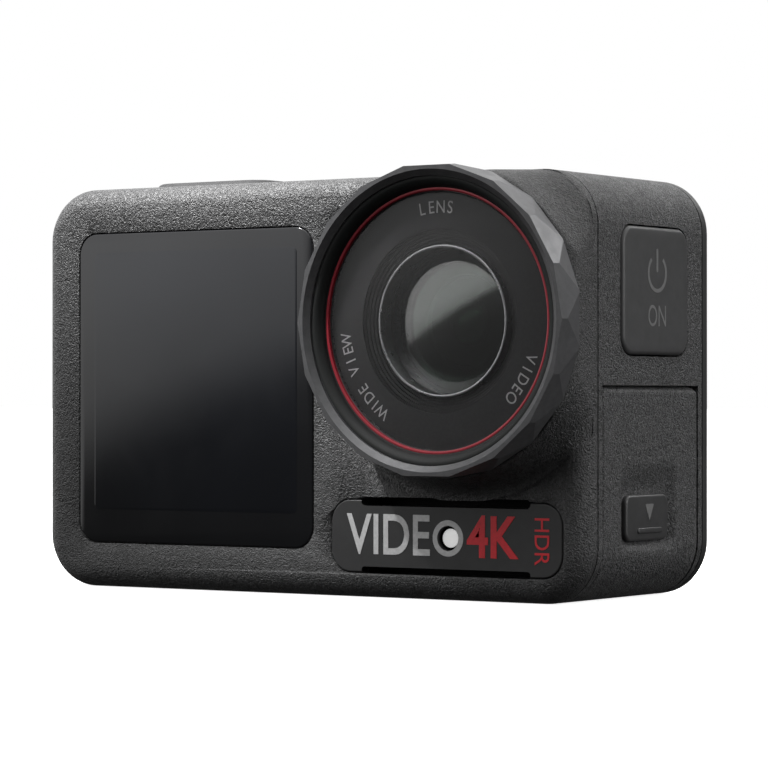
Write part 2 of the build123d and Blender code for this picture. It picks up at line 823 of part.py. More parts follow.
# ================================================================ optics
baffle_rear_y = barrel_front_y + baffle_steps * baffle_step_drop + baffle_floor
dome_front_y = barrel_front_y - dome_proud
dome_rear_y = baffle_rear_y + dome_seat_depth
middle_lens_front_y = dome_rear_y + middle_lens_gap
middle_lens_y = (middle_lens_front_y, middle_lens_front_y + middle_lens_thickness)
aperture_front_y = middle_lens_y[1] + aperture_gap
aperture_y = (aperture_front_y, aperture_front_y + aperture_thickness)
rear_lens_front_y = aperture_y[1] + rear_lens_gap
rear_lens_y = (rear_lens_front_y, rear_lens_front_y + rear_lens_thickness)
filter_rear_y = tail_rear_y - sensor_thickness - filter_gap
filter_y = (filter_rear_y - filter_thickness, filter_rear_y)
with BuildPart() as lens_barrel:
    lens_disc(barrel_radius, barrel_front_y, cavity_front_y)
    lens_disc(barrel_tail_radius, cavity_front_y, tail_rear_y)
    with BuildSketch(across(cavity_front_y)):
        with Locations((lens_x, lens_z)):
            with PolarLocations(ear_circle / 2, ear_count, start_angle=ear_start):
                SlotOverall(ear_circle + 2 * ear_radius, 2 * ear_radius)
            with PolarLocations(ear_circle, ear_count, start_angle=ear_start):
                Circle(lens_screw_radius, mode=Mode.SUBTRACT)
    extrude(amount=-ear_thickness)
    lens_disc(baffle_radius, barrel_front_y, baffle_rear_y, Mode.SUBTRACT)
    lens_disc(dome_radius + trim_wall, baffle_rear_y, dome_rear_y, Mode.SUBTRACT)
    lens_disc(barrel_bore, dome_rear_y, middle_lens_y[0], Mode.SUBTRACT)
    lens_disc(middle_lens_radius, middle_lens_y[0], aperture_y[1], Mode.SUBTRACT)
    lens_disc(rear_lens_radius, aperture_y[1], filter_y[0], Mode.SUBTRACT)
    lens_disc(barrel_bore, filter_y[0], filter_y[1], Mode.SUBTRACT)
    lens_disc(sensor_width / 2 + sensor_pocket_margin, filter_y[1], tail_rear_y, Mode.SUBTRACT)
lens_barrel.part.label = "lens_barrel"
export_step(lens_barrel.part, "parts/lens_barrel.step")

with BuildPart() as lens_baffle:
    lens_disc(baffle_radius, barrel_front_y, baffle_rear_y)
    step_width = (baffle_radius - dome_radius - trim_wall) / (baffle_steps + 1)
    for step in range(baffle_steps):
        step_radius = baffle_radius - (step + 1) * step_width
        step_front_y = barrel_front_y + step * baffle_step_drop
        lens_disc(step_radius, step_front_y, step_front_y + baffle_step_drop, Mode.SUBTRACT)
    lens_disc(dome_radius + trim_wall, barrel_front_y, baffle_rear_y, Mode.SUBTRACT)
lens_baffle.part.label = "lens_baffle"
export_step(lens_baffle.part, "parts/lens_baffle.step")

with BuildPart() as lens_trim_ring:
    lens_disc(dome_radius + trim_wall, barrel_front_y, dome_rear_y)
    lens_disc(dome_radius, barrel_front_y, dome_rear_y, Mode.SUBTRACT)
lens_trim_ring.part.label = "lens_trim_ring"
export_step(lens_trim_ring.part, "parts/lens_trim_ring.step")

with BuildPart() as front_lens:
    with BuildSketch(across(dome_rear_y)):
        with Locations((lens_x, lens_z)):
            Circle(dome_radius)
    extrude(amount=dome_rear_y - dome_front_y)
    with Locations((lens_x, dome_front_y + dome_curve, lens_z)):
        Sphere(dome_curve, mode=Mode.INTERSECT)
front_lens.part.label = "front_lens"
export_step(front_lens.part, "parts/front_lens.step")

for element_name, element_radius, element_y, element_curve in (
    ("middle_lens", middle_lens_radius, middle_lens_y, middle_lens_curve),
    ("rear_lens", rear_lens_radius, rear_lens_y, rear_lens_curve),
):
    with BuildPart() as element:
        lens_disc(element_radius, element_y[0], element_y[1])
        with Locations((lens_x, element_y[0] + element_curve, lens_z)):
            Sphere(element_curve, mode=Mode.INTERSECT)
    element.part.label = element_name
    export_step(element.part, f"parts/{element_name}.step")

with BuildPart() as aperture_plate:
    lens_disc(middle_lens_radius, aperture_y[0], aperture_y[1])
    lens_disc(aperture_radius, aperture_y[0], aperture_y[1], Mode.SUBTRACT)
aperture_plate.part.label = "aperture_plate"
export_step(aperture_plate.part, "parts/aperture_plate.step")

with BuildPart() as infrared_filter:
    lens_disc(barrel_bore, filter_y[0], filter_y[1])
infrared_filter.part.label = "infrared_filter"
export_step(infrared_filter.part, "parts/infrared_filter.step")

with BuildPart() as image_sensor:
    with BuildSketch(across(tail_rear_y - sensor_thickness)):
        with Locations((lens_x, lens_z)):
            Rectangle(sensor_width, sensor_height)
    extrude(amount=-sensor_thickness)
image_sensor.part.label = "image_sensor"
export_step(image_sensor.part, "parts/image_sensor.step")

with BuildPart() as sensor_board:
    with BuildSketch(across(tail_rear_y)):
        with Locations((lens_x, lens_z)):
            RectangleRounded(sensor_board_size, sensor_board_size, sensor_board_corner)
    extrude(amount=-sensor_board_thickness)
sensor_board.part.label = "sensor_board"
export_step(sensor_board.part, "parts/sensor_board.step")

with BuildPart() as lens_seal:
    lens_disc(barrel_radius + lens_seal_width, lens_seal_y[0], lens_seal_y[1])
    lens_disc(barrel_radius, lens_seal_y[0], lens_seal_y[1], Mode.SUBTRACT)
lens_seal.part.label = "lens_seal"
export_step(lens_seal.part, "parts/lens_seal.step")

with BuildPart() as lens_screws:
    with BuildSketch(across(mid_front_y + lens_screw_tip_gap)):
        with Locations((lens_x, lens_z)):
            with PolarLocations(ear_circle, ear_count, start_angle=ear_start):
                Circle(lens_screw_radius)
    extrude(amount=lens_screw_tip_gap - bulkhead - ear_thickness)
    with BuildSketch(across(cavity_front_y + ear_thickness)):
        with Locations((lens_x, lens_z)):
            with PolarLocations(ear_circle, ear_count, start_angle=ear_start):
                Circle(2 * lens_screw_radius)
    extrude(amount=-screw_head_height)
lens_screws.part.label = "lens_screws"
export_step(lens_screws.part, "parts/lens_screws.step")

# ================================================================ boards and heat plate
with BuildPart() as main_board:
    board_x = (-inner_side_x + board_left_gap, bay_block_x - board_right_gap)
    block(board_x, board_y, (battery_z[0], battery_z[1]))
main_board.part.label = "main_board"
export_step(main_board.part, "parts/main_board.step")

processor_x = (processor_left, processor_left + processor_size)
processor_z = (processor_base, processor_base + processor_size)
with BuildPart() as processor:
    block(processor_x, chip_y, processor_z)
processor.part.label = "processor"
export_step(processor.part, "parts/processor.step")

with BuildPart() as memory_chips:
    for chip in range(memory_count):
        chip_base = memory_base + chip * memory_pitch
        block((memory_left, memory_left + memory_width), chip_y, (chip_base, chip_base + memory_length))
memory_chips.part.label = "memory_chips"
export_step(memory_chips.part, "parts/memory_chips.step")

with BuildPart() as thermal_pad:
    block(processor_x, pad_y, processor_z)
thermal_pad.part.label = "thermal_pad"
export_step(thermal_pad.part, "parts/thermal_pad.step")

with BuildPart() as heat_plate:
    with BuildSketch(across(heat_y[0])):
        with Locations((0, body_height / 2)):
            RectangleRounded(
                2 * chassis_screw_x + 2 * lug_block,
                inner_top_z - housing_wall - 2 * heat_plate_gap,
                heat_plate_corner,
            )
        for side in (-1, 1):
            for lug_z in lug_rows:
                with Locations((side * chassis_screw_x, sum(lug_z) / 2)):
                    Circle(chassis_screw_radius, mode=Mode.SUBTRACT)
    extrude(amount=-heat_plate_thickness)
heat_plate.part.label = "heat_plate"
export_step(heat_plate.part, "parts/heat_plate.step")

with BuildPart() as chassis_screws:
    for side in (-1, 1):
        for lug_z in lug_rows:
            with BuildSketch(across(heat_y[1])):
                with Locations((side * chassis_screw_x, sum(lug_z) / 2)):
                    Circle(chassis_screw_radius)
            extrude(amount=chassis_screw_length)
            with BuildSketch(across(heat_y[1])):
                with Locations((side * chassis_screw_x, sum(lug_z) / 2)):
                    Circle(screw_head_radius)
            extrude(amount=-screw_head_height)
chassis_screws.part.label = "chassis_screws"
export_step(chassis_screws.part, "parts/chassis_screws.step")

# ================================================================ battery and its sleeve
with BuildPart() as battery_sleeve:
    with BuildSketch(across(sleeve_front_y)):
        outline(inset=housing_wall)
        with Locations(((sleeve_right_x - inner_side_x) / 2, (sleeve_base + sleeve_top) / 2)):
            Rectangle(sleeve_right_x + inner_side_x, sleeve_top - sleeve_base, mode=Mode.INTERSECT)
    extrude(amount=sleeve_front_y - sleeve_rear_y)
    # Plate behind the mouth, with the slot for the memory card.
    with BuildSketch(across(sleeve_front_y)):
        outline(inset=housing_wall)
        with Locations((-inner_side_x + mouth_plate_thickness / 2, body_height / 2)):
            Rectangle(
                mouth_plate_thickness,
                cap_z[1] - cap_z[0] + 2 * mouth_plate_margin,
                mode=Mode.INTERSECT,
            )
    extrude(amount=sleeve_front_y - cap_y[1] - mouth_plate_rear)
    block(
        (-inner_side_x, battery_right_x + slide_gap),
        (battery_y[0] - slide_gap, battery_y[1] + slide_gap),
        (battery_z[0] - slide_gap, battery_z[1] + slide_gap),
        Mode.SUBTRACT,
    )
    block(
        (-inner_side_x, -inner_side_x + mouth_plate_thickness),
        (card_y[0] - panel_gap, card_y[1] + panel_gap),
        (card_z[0] - slide_gap, card_z[1] + slide_gap),
        Mode.SUBTRACT,
    )
battery_sleeve.part.label = "battery_sleeve"
export_step(battery_sleeve.part, "parts/battery_sleeve.step")

contact_front_y = battery_y[0] + contact_from_front
with BuildPart() as battery_contacts:
    for contact in range(contact_count):
        contact_z = battery_z[1] - contact_from_top - contact * contact_pitch
        block(
            (battery_right_x + press_gap, battery_right_x + slide_gap),
            (contact_front_y, contact_front_y + contact_size),
            (contact_z - contact_size / 2, contact_z + contact_size / 2),
        )
battery_contacts.part.label = "battery_contacts"
export_step(battery_contacts.part, "parts/battery_contacts.step")

with BuildPart() as battery_case:
    with BuildSketch(beside(battery_left_x)):
        panel(battery_y, battery_z, battery_corner)
    extrude(amount=battery_right_x - battery_left_x)
    fillet(battery_case.edges().group_by(Axis.X)[-1], battery_end_radius)
    with BuildSketch(beside(battery_left_x)):
        panel(battery_y, battery_z, cell_corner, inset=battery_case_wall)
    extrude(amount=battery_right_x - battery_left_x - battery_case_wall, mode=Mode.SUBTRACT)
battery_case.part.label = "battery_case"
export_step(battery_case.part, "parts/battery_case.step")

with BuildPart() as battery_cell:
    with BuildSketch(beside(battery_left_x)):
        panel(battery_y, battery_z, cell_corner, inset=battery_case_wall)
    extrude(amount=battery_right_x - battery_left_x - battery_case_wall)
battery_cell.part.label = "battery_cell"
export_step(battery_cell.part, "parts/battery_cell.step")

cap_middle_y = sum(cap_y) / 2
upper_latch_z = (
    cap_z[1] - battery_latch_margin - battery_latch_height,
    cap_z[1] - battery_latch_margin,
)
lower_latch_z = (
    cap_z[0] + battery_latch_margin,
    cap_z[0] + battery_latch_margin + battery_latch_height,
)
latch_y = (cap_middle_y - battery_latch_length / 2, cap_middle_y + battery_latch_length / 2)
seal_x = battery_left_x - cap_seal_inset
with BuildPart() as battery_cap:
    with BuildSketch(beside(-half_width)):
        panel(cap_y, cap_z, cap_corner)
    extrude(amount=cap_thickness)
    with BuildSketch(across(cap_y[0])):
        outline()
    extrude(amount=cap_y[0] - cap_y[1], mode=Mode.INTERSECT)
    # Groove for the seal round the rim, and a pocket for each sliding latch.
    with BuildSketch(beside(seal_x)):
        panel(cap_y, cap_z, cap_corner)
        panel(cap_y, cap_z, cap_corner - cap_seal_width, inset=cap_seal_width, mode=Mode.SUBTRACT)
    extrude(amount=cap_seal_width, mode=Mode.SUBTRACT)
    pocket_depth = battery_latch_depth + running_fit
    for pocket_z in (
        (upper_latch_z[0] - battery_latch_travel - hook_gap, upper_latch_z[1] + hook_gap),
        (lower_latch_z[0] - hook_gap, lower_latch_z[1] + battery_latch_travel + hook_gap),
    ):
        block(
            (-half_width - over_cut, -half_width + pocket_depth),
            (latch_y[0] - button_gap, latch_y[1] + button_gap),
            pocket_z,
            Mode.SUBTRACT,
        )
battery_cap.part.label = "battery_cap"
export_step(battery_cap.part, "parts/battery_cap.step")

with BuildPart() as battery_seal:
    with BuildSketch(beside(seal_x)):
        panel(cap_y, cap_z, cap_corner + running_fit, inset=-running_fit)
        panel(cap_y, cap_z, cap_corner - cap_seal_width, inset=cap_seal_width, mode=Mode.SUBTRACT)
    extrude(amount=cap_seal_width)
battery_seal.part.label = "battery_seal"
export_step(battery_seal.part, "parts/battery_seal.step")

for latch_name, latch_z in (
    ("battery_latch_upper", upper_latch_z),
    ("battery_latch_lower", lower_latch_z),
):
    with BuildPart() as battery_latch:
        with BuildSketch(beside(-half_width)):
            panel(latch_y, latch_z, battery_latch_corner)
        extrude(amount=battery_latch_depth)
        # Grooves that a fingernail grips.
        for grip in range(grip_count):
            grip_z = sum(latch_z) / 2 + (grip - (grip_count - 1) / 2) * grip_pitch
            block(
                (-half_width - over_cut, -half_width + grip_depth),
                (latch_y[0] + grip_margin, latch_y[1] - grip_margin),
                (grip_z - grip_width / 2, grip_z + grip_width / 2),
                Mode.SUBTRACT,
            )
    battery_latch.part.label = latch_name
    export_step(battery_latch.part, f"parts/{latch_name}.step")

with BuildPart() as microsd_card:
    block(card_x, card_y, card_z)
    fillet(microsd_card.edges().filter_by(Axis.Y), card_corner)
microsd_card.part.label = "microsd_card"
export_step(microsd_card.part, "parts/microsd_card.step")

with BuildPart() as card_socket:
    socket_x = (-inner_side_x + mouth_plate_thickness, card_x[1] + socket_wall)
    block(
        socket_x,
        (board_y[1], card_y[1] + panel_gap + socket_wall),
        (card_z[0] - panel_gap - socket_wall, card_z[1] + panel_gap + socket_wall),
    )
    block((socket_x[0], card_x[1]), card_y, card_z, Mode.SUBTRACT)
card_socket.part.label = "card_socket"
export_step(card_socket.part, "parts/card_socket.step")

# ================================================================ buttons
with BuildPart() as record_button:
    with BuildSketch(Plane.XY.offset(record_flange_top - button_flange_thickness)):
        panel(record_length_x, record_depth_y, record_corner + button_flange, inset=-button_flange)
    extrude(amount=button_flange_thickness)
    with BuildSketch(Plane.XY.offset(record_flange_top)):
        panel(record_length_x, record_depth_y, record_corner)
    extrude(amount=record_top_z - record_flange_top)
    fillet(record_button.edges().group_by(Axis.Z)[-1], record_edge_radius)
record_button.part.label = "record_button"
export_step(record_button.part, "parts/record_button.step")

with BuildPart() as record_switch:
    record_plunger_z = record_flange_top - button_flange_thickness - record_travel - press_gap
    block(
        (record_x - switch_size / 2, record_x + switch_size / 2),
        (record_centre_y - switch_size / 2, record_centre_y + switch_size / 2),
        (sleeve_top, record_plunger_z - plunger_height),
    )
    with BuildSketch(Plane.XY.offset(record_plunger_z - plunger_height)):
        with Locations((record_x, record_centre_y)):
            Circle(plunger_radius)
    extrude(amount=plunger_height)
record_switch.part.label = "record_switch"
export_step(record_switch.part, "parts/record_switch.step")

with BuildPart() as power_button:
    with BuildSketch(beside(power_flange_x - button_flange_thickness)):
        panel(power_y, power_z, power_corner + button_flange, inset=-button_flange)
    extrude(amount=button_flange_thickness)
    with BuildSketch(beside(power_flange_x)):
        panel(power_y, power_z, power_corner)
    extrude(amount=half_width + power_proud - power_flange_x)
    fillet(power_button.edges().group_by(Axis.X)[-1], power_edge_radius)
power_button.part.label = "power_button"
export_step(power_button.part, "parts/power_button.step")

bracket_x = (
    power_switch_x - plunger_height - switch_thickness - bracket_thickness,
    power_switch_x - plunger_height - switch_thickness,
)
with BuildPart() as button_bracket:
    block(
        bracket_x,
        (power_centre_y - bracket_length / 2, power_centre_y + bracket_length / 2),
        (cover_top + bay_wall, cover_top + bay_wall + bracket_height),
    )
button_bracket.part.label = "button_bracket"
export_step(button_bracket.part, "parts/button_bracket.step")

with BuildPart() as power_switch:
    block(
        (bracket_x[1], bracket_x[1] + switch_thickness),
        (power_centre_y - switch_size / 2, power_centre_y + switch_size / 2),
        (power_centre_z - switch_size / 2, power_centre_z + switch_size / 2),
    )
    with BuildSketch(beside(bracket_x[1] + switch_thickness)):
        with Locations((power_centre_y, power_centre_z)):
            Circle(plunger_radius)
    extrude(amount=plunger_height)
power_switch.part.label = "power_switch"
export_step(power_switch.part, "parts/power_switch.step")

# ================================================================ port cover
scoop_x = half_width - scoop_depth
scoop_y = (latch_centre_y + latch_offset - scoop_half, latch_centre_y - latch_offset + scoop_half)
latch_z = (latch_centre_z - latch_height / 2, latch_centre_z + latch_height / 2)
neck_z = (latch_centre_z - latch_neck_height / 2, latch_centre_z + latch_neck_height / 2)
neck_y = (latch_centre_y - latch_neck / 2, latch_centre_y + latch_neck / 2)
with BuildPart() as port_cover:
    with BuildSketch(across(cover_front_y)):
        cover_profile()
    extrude(amount=cover_front_y - cover_rear_y)
    with BuildSketch(beside(0)):
        panel((cover_front_y, cover_rear_y), (-2 * cover_corner, cover_top), cover_corner)
    extrude(amount=half_width, mode=Mode.INTERSECT)
    with BuildSketch(across(cover_front_y)):
        with Locations((pivot_x, pivot_z)):
            Circle(hinge_pin_radius + running_fit)
    extrude(amount=cover_front_y - cover_rear_y, mode=Mode.SUBTRACT)
    # Finger scoop with a long ramp from above, and the slot that the latch neck slides in.
    with BuildSketch(across(scoop_y[0])):
        Polygon(
            (half_width + over_cut, scoop_top),
            (half_width, scoop_top),
            (scoop_x, scoop_floor_top),
            (scoop_x, scoop_bottom),
            (half_width + over_cut, scoop_bottom),
            align=None,
        )
    extrude(amount=scoop_y[0] - scoop_y[1], mode=Mode.SUBTRACT)
    block(
        (cover_inner_x - over_cut, half_width),
        (neck_y[0] - button_gap, neck_y[1] + button_gap),
        (neck_z[0] - latch_travel - hook_gap, neck_z[1] + hook_gap),
        Mode.SUBTRACT,
    )
port_cover.part.label = "port_cover"
export_step(port_cover.part, "parts/port_cover.step")

with BuildPart() as port_seal:
    with BuildSketch(beside(cover_inner_x - seal_depth)):
        panel(bay_y, bay_z, seal_corner, inset=slide_gap)
        panel(bay_y, bay_z, seal_inner_corner, inset=slide_gap + seal_width, mode=Mode.SUBTRACT)
    extrude(amount=seal_depth)
    with BuildSketch(across(cover_front_y)):
        outline(inset=cover_thickness)
    extrude(amount=cover_front_y - cover_rear_y, mode=Mode.INTERSECT)
port_seal.part.label = "port_seal"
export_step(port_seal.part, "parts/port_seal.step")

with BuildPart() as port_latch:
    plate_back_x = scoop_x + running_fit
    with BuildSketch(beside(plate_back_x)):
        with Locations((latch_centre_y, latch_centre_z)):
            RectangleRounded(latch_length, latch_height, latch_corner)
    extrude(amount=latch_plate)
    fillet(port_latch.edges().group_by(Axis.X)[-1], latch_edge_radius)
    hook_x = (cover_inner_x - running_fit - latch_hook_thickness, cover_inner_x - running_fit)
    block((hook_x[1], plate_back_x), neck_y, neck_z)
    block(
        hook_x,
        (latch_centre_y - latch_hook_length / 2, latch_centre_y + latch_hook_length / 2),
        (latch_z[0], latch_z[1]),
    )
port_latch.part.label = "port_latch"
export_step(port_latch.part, "parts/port_latch.step")

with BuildPart() as hinge_pin:
    with BuildSketch(across(pin_y[0])):
        with Locations((pivot_x, pivot_z)):
            Circle(hinge_pin_radius)
    extrude(amount=pin_y[0] - pin_y[1])
hinge_pin.part.label = "hinge_pin"
export_step(hinge_pin.part, "parts/hinge_pin.step")

with BuildPart() as usb_port:
    with BuildSketch(beside(bay_back_x - usb_length)):
        with Locations((latch_centre_y, usb_z)):
            SlotOverall(usb_width, usb_height)
    extrude(amount=usb_length)
    with BuildSketch(beside(bay_back_x - usb_length + usb_wall)):
        with Locations((latch_centre_y, usb_z)):
            SlotOverall(usb_width - 2 * usb_wall, usb_height - 2 * usb_wall)
            Rectangle(usb_tongue_width, usb_tongue_height, mode=Mode.SUBTRACT)
    extrude(amount=usb_length, mode=Mode.SUBTRACT)
usb_port.part.label = "usb_port"
export_step(usb_port.part, "parts/usb_port.step")

# ================================================================ base and small pieces
with BuildPart() as base_plate:
    with BuildSketch(Plane.XY):
        Rectangle(base_plate_width, base_plate_depth)
        with GridLocations(claw_spacing, 0, 2, 1):
            RectangleRounded(claw_width, claw_length, claw_corner, mode=Mode.SUBTRACT)
        with GridLocations(0, locator_spacing, 1, 2):
            Circle(locator_radius, mode=Mode.SUBTRACT)
    extrude(amount=base_plate_thickness)
base_plate.part.label = "base_plate"
export_step(base_plate.part, "parts/base_plate.step")

with BuildPart() as mount_magnets:
    with BuildSketch(Plane.XY.offset(housing_wall)):
        with GridLocations(magnet_spacing, 0, 2, 1):
            Circle(magnet_radius)
    extrude(amount=magnet_thickness)
mount_magnets.part.label = "mount_magnets"
export_step(mount_magnets.part, "parts/mount_magnets.step")

with BuildPart() as microphones:
    with BuildSketch(Plane.XY.offset(inner_top_z - mic_thickness)):
        with Locations(*mic_places):
            Rectangle(mic_size, mic_size)
    extrude(amount=mic_thickness)
microphones.part.label = "microphones"
export_step(microphones.part, "parts/microphones.step")

with BuildPart() as status_light:
    with BuildSketch(Plane.XY.offset(body_height - light_length)):
        with Locations((light_x, 0)):
            Circle(light_radius)
    extrude(amount=light_length)
status_light.part.label = "status_light"
export_step(status_light.part, "parts/status_light.step")
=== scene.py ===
"""Looks of the action camera: an add-on laid out to be run as a script round the loaded frame."""
import math

import bmesh
import bpy
from bpy.props import FloatProperty, FloatVectorProperty, PointerProperty, StringProperty
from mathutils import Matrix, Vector


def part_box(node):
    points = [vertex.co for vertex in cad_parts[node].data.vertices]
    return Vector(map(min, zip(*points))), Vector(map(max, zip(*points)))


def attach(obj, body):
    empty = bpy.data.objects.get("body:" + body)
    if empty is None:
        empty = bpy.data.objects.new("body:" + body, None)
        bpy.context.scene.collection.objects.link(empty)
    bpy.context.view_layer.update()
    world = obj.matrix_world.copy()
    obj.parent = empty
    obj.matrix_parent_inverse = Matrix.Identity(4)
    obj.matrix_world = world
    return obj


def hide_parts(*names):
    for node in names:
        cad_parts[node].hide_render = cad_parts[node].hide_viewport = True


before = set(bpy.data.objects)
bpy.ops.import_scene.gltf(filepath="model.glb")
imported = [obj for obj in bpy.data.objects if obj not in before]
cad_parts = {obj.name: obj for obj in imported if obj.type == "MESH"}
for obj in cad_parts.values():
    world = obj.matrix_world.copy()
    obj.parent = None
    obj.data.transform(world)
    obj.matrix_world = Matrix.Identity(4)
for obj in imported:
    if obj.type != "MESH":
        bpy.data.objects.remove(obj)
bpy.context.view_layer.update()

bl_info = {
    "name": "Action camera looks",
    "version": (1, 0, 0),
    "blender": (4, 5, 0),
    "location": "View3D > Sidebar > Camera",
    "description": "Builds the visible pieces and finishes of the action camera round its frame",
    "category": "Object",
}

MM = 0.001
BODY = "camera_body"

# Places read from the frame.
GLASS_LOW, GLASS_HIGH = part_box("cover_glass")
LENS_X = (GLASS_LOW.x + GLASS_HIGH.x) / 2
LENS_Z = (GLASS_LOW.z + GLASS_HIGH.z) / 2
GLASS_RADIUS = (GLASS_HIGH.x - GLASS_LOW.x) / 2
HOUSING_LOW, HOUSING_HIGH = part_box("mid_housing")
RIGHT_X = HOUSING_HIGH.x
TOP_Z = HOUSING_HIGH.z
FRONT_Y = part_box("front_screen_glass")[0].y

# Sizes that several pieces share.
BODY_CORNER = 5.75 * MM      # radius of the four long corners of the body
KEY_FLANGE = 0.6 * MM        # hidden flange round the power and record keys
MARK_HEIGHT = 0.02 * MM      # height of a painted mark above its face


# ---------------------------------------------------------------- modelling helpers
def deselect():
    """Leaves object mode with nothing selected."""
    if bpy.context.object and bpy.context.object.mode != "OBJECT":
        bpy.ops.object.mode_set(mode="OBJECT")
    bpy.ops.object.select_all(action="DESELECT")


def start(name, adder, scale=(1, 1, 1), **settings):
    """Adds a primitive, names it, and opens it in edit mode."""
    deselect()
    adder(**settings)
    piece = bpy.context.object
    piece.scale = scale
    piece.name = name
    piece.data.name = name
    bpy.ops.object.transform_apply(location=True, rotation=True, scale=True)
    bpy.ops.object.mode_set(mode="EDIT")
    bpy.ops.mesh.select_mode(type="VERT")
    bpy.ops.mesh.select_all(action="SELECT")
    return piece


def active(piece):
    """Selects one piece and makes it the active one."""
    deselect()
    piece.select_set(True)
    bpy.context.view_layer.objects.active = piece


def apply_modifier(piece, kind, **settings):
    """Adds a modifier with its settings and applies it at once."""
    modifier = piece.modifiers.new(kind.lower(), kind)
    for setting, value in settings.items():
        setattr(modifier, setting, value)
    bpy.ops.object.modifier_apply(modifier=modifier.name)


def pull(step):
    """Extrudes the selected faces by a step."""
    bpy.ops.mesh.extrude_region_move(TRANSFORM_OT_translate={"value": step})


def face_outward():
    """Turns every face of the open mesh outwards."""
    bpy.ops.mesh.select_all(action="SELECT")
    bpy.ops.mesh.normals_make_consistent(inside=False)


def thicken(step):
    """Gives a flat outline a height."""
    bpy.ops.mesh.select_all(action="SELECT")
    pull(step)
    face_outward()


def long_edges(piece, axis):
    """Selects the edges that run along an axis."""
    choose(piece, "EDGE", lambda e: abs((e.verts[0].co - e.verts[1].co).normalized()[axis]) > 0.99)


def disc(name, radius, place, vertices, turn=(math.pi / 2, 0, 0)):
    """Flat filled circle, open in edit mode."""
    return start(name, bpy.ops.mesh.primitive_circle_add, vertices=vertices, radius=radius,
                 fill_type="NGON", location=place, rotation=turn)


def half_width(node):
    """Half the width of a frame node, the radius of a round one."""
    low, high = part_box(node)
    return (high.x - low.x) / 2


def choose(piece, kind, test):
    """Selects the faces, edges or vertices that pass a test, and only those."""
    bpy.ops.mesh.select_mode(type=kind)
    bpy.ops.mesh.select_all(action="DESELECT")
    mesh = bmesh.from_edit_mesh(piece.data)
    elements = {"VERT": mesh.verts, "EDGE": mesh.edges, "FACE": mesh.faces}[kind]
    for element in elements:
        if test(element):
            element.select_set(True)
    bmesh.update_edit_mesh(piece.data)


def close(piece, body, material, slot, *replaced, smooth=35):
    """Leaves edit mode, shades, gives the finish and hands the piece to its body."""
    if bpy.context.object and bpy.context.object.mode != "OBJECT":
        bpy.ops.object.mode_set(mode="OBJECT")
    if not piece.data.polygons:
        raise RuntimeError(f"{piece.name} has no faces")
    active(piece)
    bpy.ops.object.transform_apply(location=True, rotation=True, scale=True)
    bpy.ops.object.shade_smooth_by_angle(angle=math.radians(smooth))
    piece.data.materials.clear()
    piece.data.materials.append(material)
    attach(piece, body)
    if replaced:
        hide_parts(*replaced)
    deselect()
    return piece


def steady_normals(piece):
    """Keeps large flat faces evenly shaded where they meet small round ones."""
    active(piece)
    apply_modifier(piece, "WEIGHTED_NORMAL", keep_sharp=True, weight=100)
    deselect()


def lathe(name, profile, segments=160, closed=True):
    """Draws a profile of (radius, depth) points beside the lens axis and spins it into a ring."""
    radius, depth = profile[0]
    place = (LENS_X + radius, depth, LENS_Z)
    piece = start(name, bpy.ops.mesh.primitive_plane_add, size=MM, location=place)
    bpy.ops.mesh.merge(type="CENTER")
    points = list(profile[1:])
    if closed:
        points.append(profile[0])
    for next_radius, next_depth in points:
        step = (next_radius - radius, next_depth - depth, 0)
        bpy.ops.mesh.extrude_vertices_move(TRANSFORM_OT_translate={"value": step})
        radius, depth = next_radius, next_depth
    bpy.ops.mesh.select_all(action="SELECT")
    bpy.ops.mesh.spin(steps=segments, angle=math.tau, center=(LENS_X, 0, LENS_Z), axis=(0, 1, 0))
    bpy.ops.mesh.select_all(action="SELECT")
    bpy.ops.mesh.remove_doubles(threshold=2e-6)
    face_outward()
    return piece


def crowned(outer, inner, near, far, soft):
    """Profile of a thin ring whose two front edges are rounded."""
    part = 0.3 * soft
    return [(outer, far), (outer, near + soft), (outer - part, near + part), (outer - soft, near),
            (inner + soft, near), (inner + part, near + part), (inner, near + soft), (inner, far)]


def dome(radius, near, curve, rings):
    """Profile of a spherical cap from its middle to its rim."""
    radii = [radius * ring / rings for ring in range(rings + 1)]
    return [(r, near + curve - math.sqrt(curve**2 - r**2)) for r in radii]


def slab(name, low, high, axis, corner, edge, outward, corner_steps=8, edge_steps=3):
    """Rounded plate: upright edges rounded by corner, and the rim of its outward face by edge."""
    centre = (Vector(low) + Vector(high)) / 2
    size = Vector(high) - Vector(low)
    piece = start(name, bpy.ops.mesh.primitive_cube_add, size=1, location=centre, scale=size)
    long_edges(piece, axis)
    bpy.ops.mesh.bevel(offset=corner, segments=corner_steps, affect="EDGES")
    face = high[axis] if outward > 0 else low[axis]
    choose(piece, "EDGE", lambda e: all(abs(v.co[axis] - face) < 1e-7 for v in e.verts))
    bpy.ops.mesh.bevel(offset=edge, segments=edge_steps, affect="EDGES")
    choose(piece, "FACE", lambda f: abs(f.normal[axis] - outward) < 0.01
           and abs(f.calc_center_median()[axis] - face) < 1e-7)
    return piece


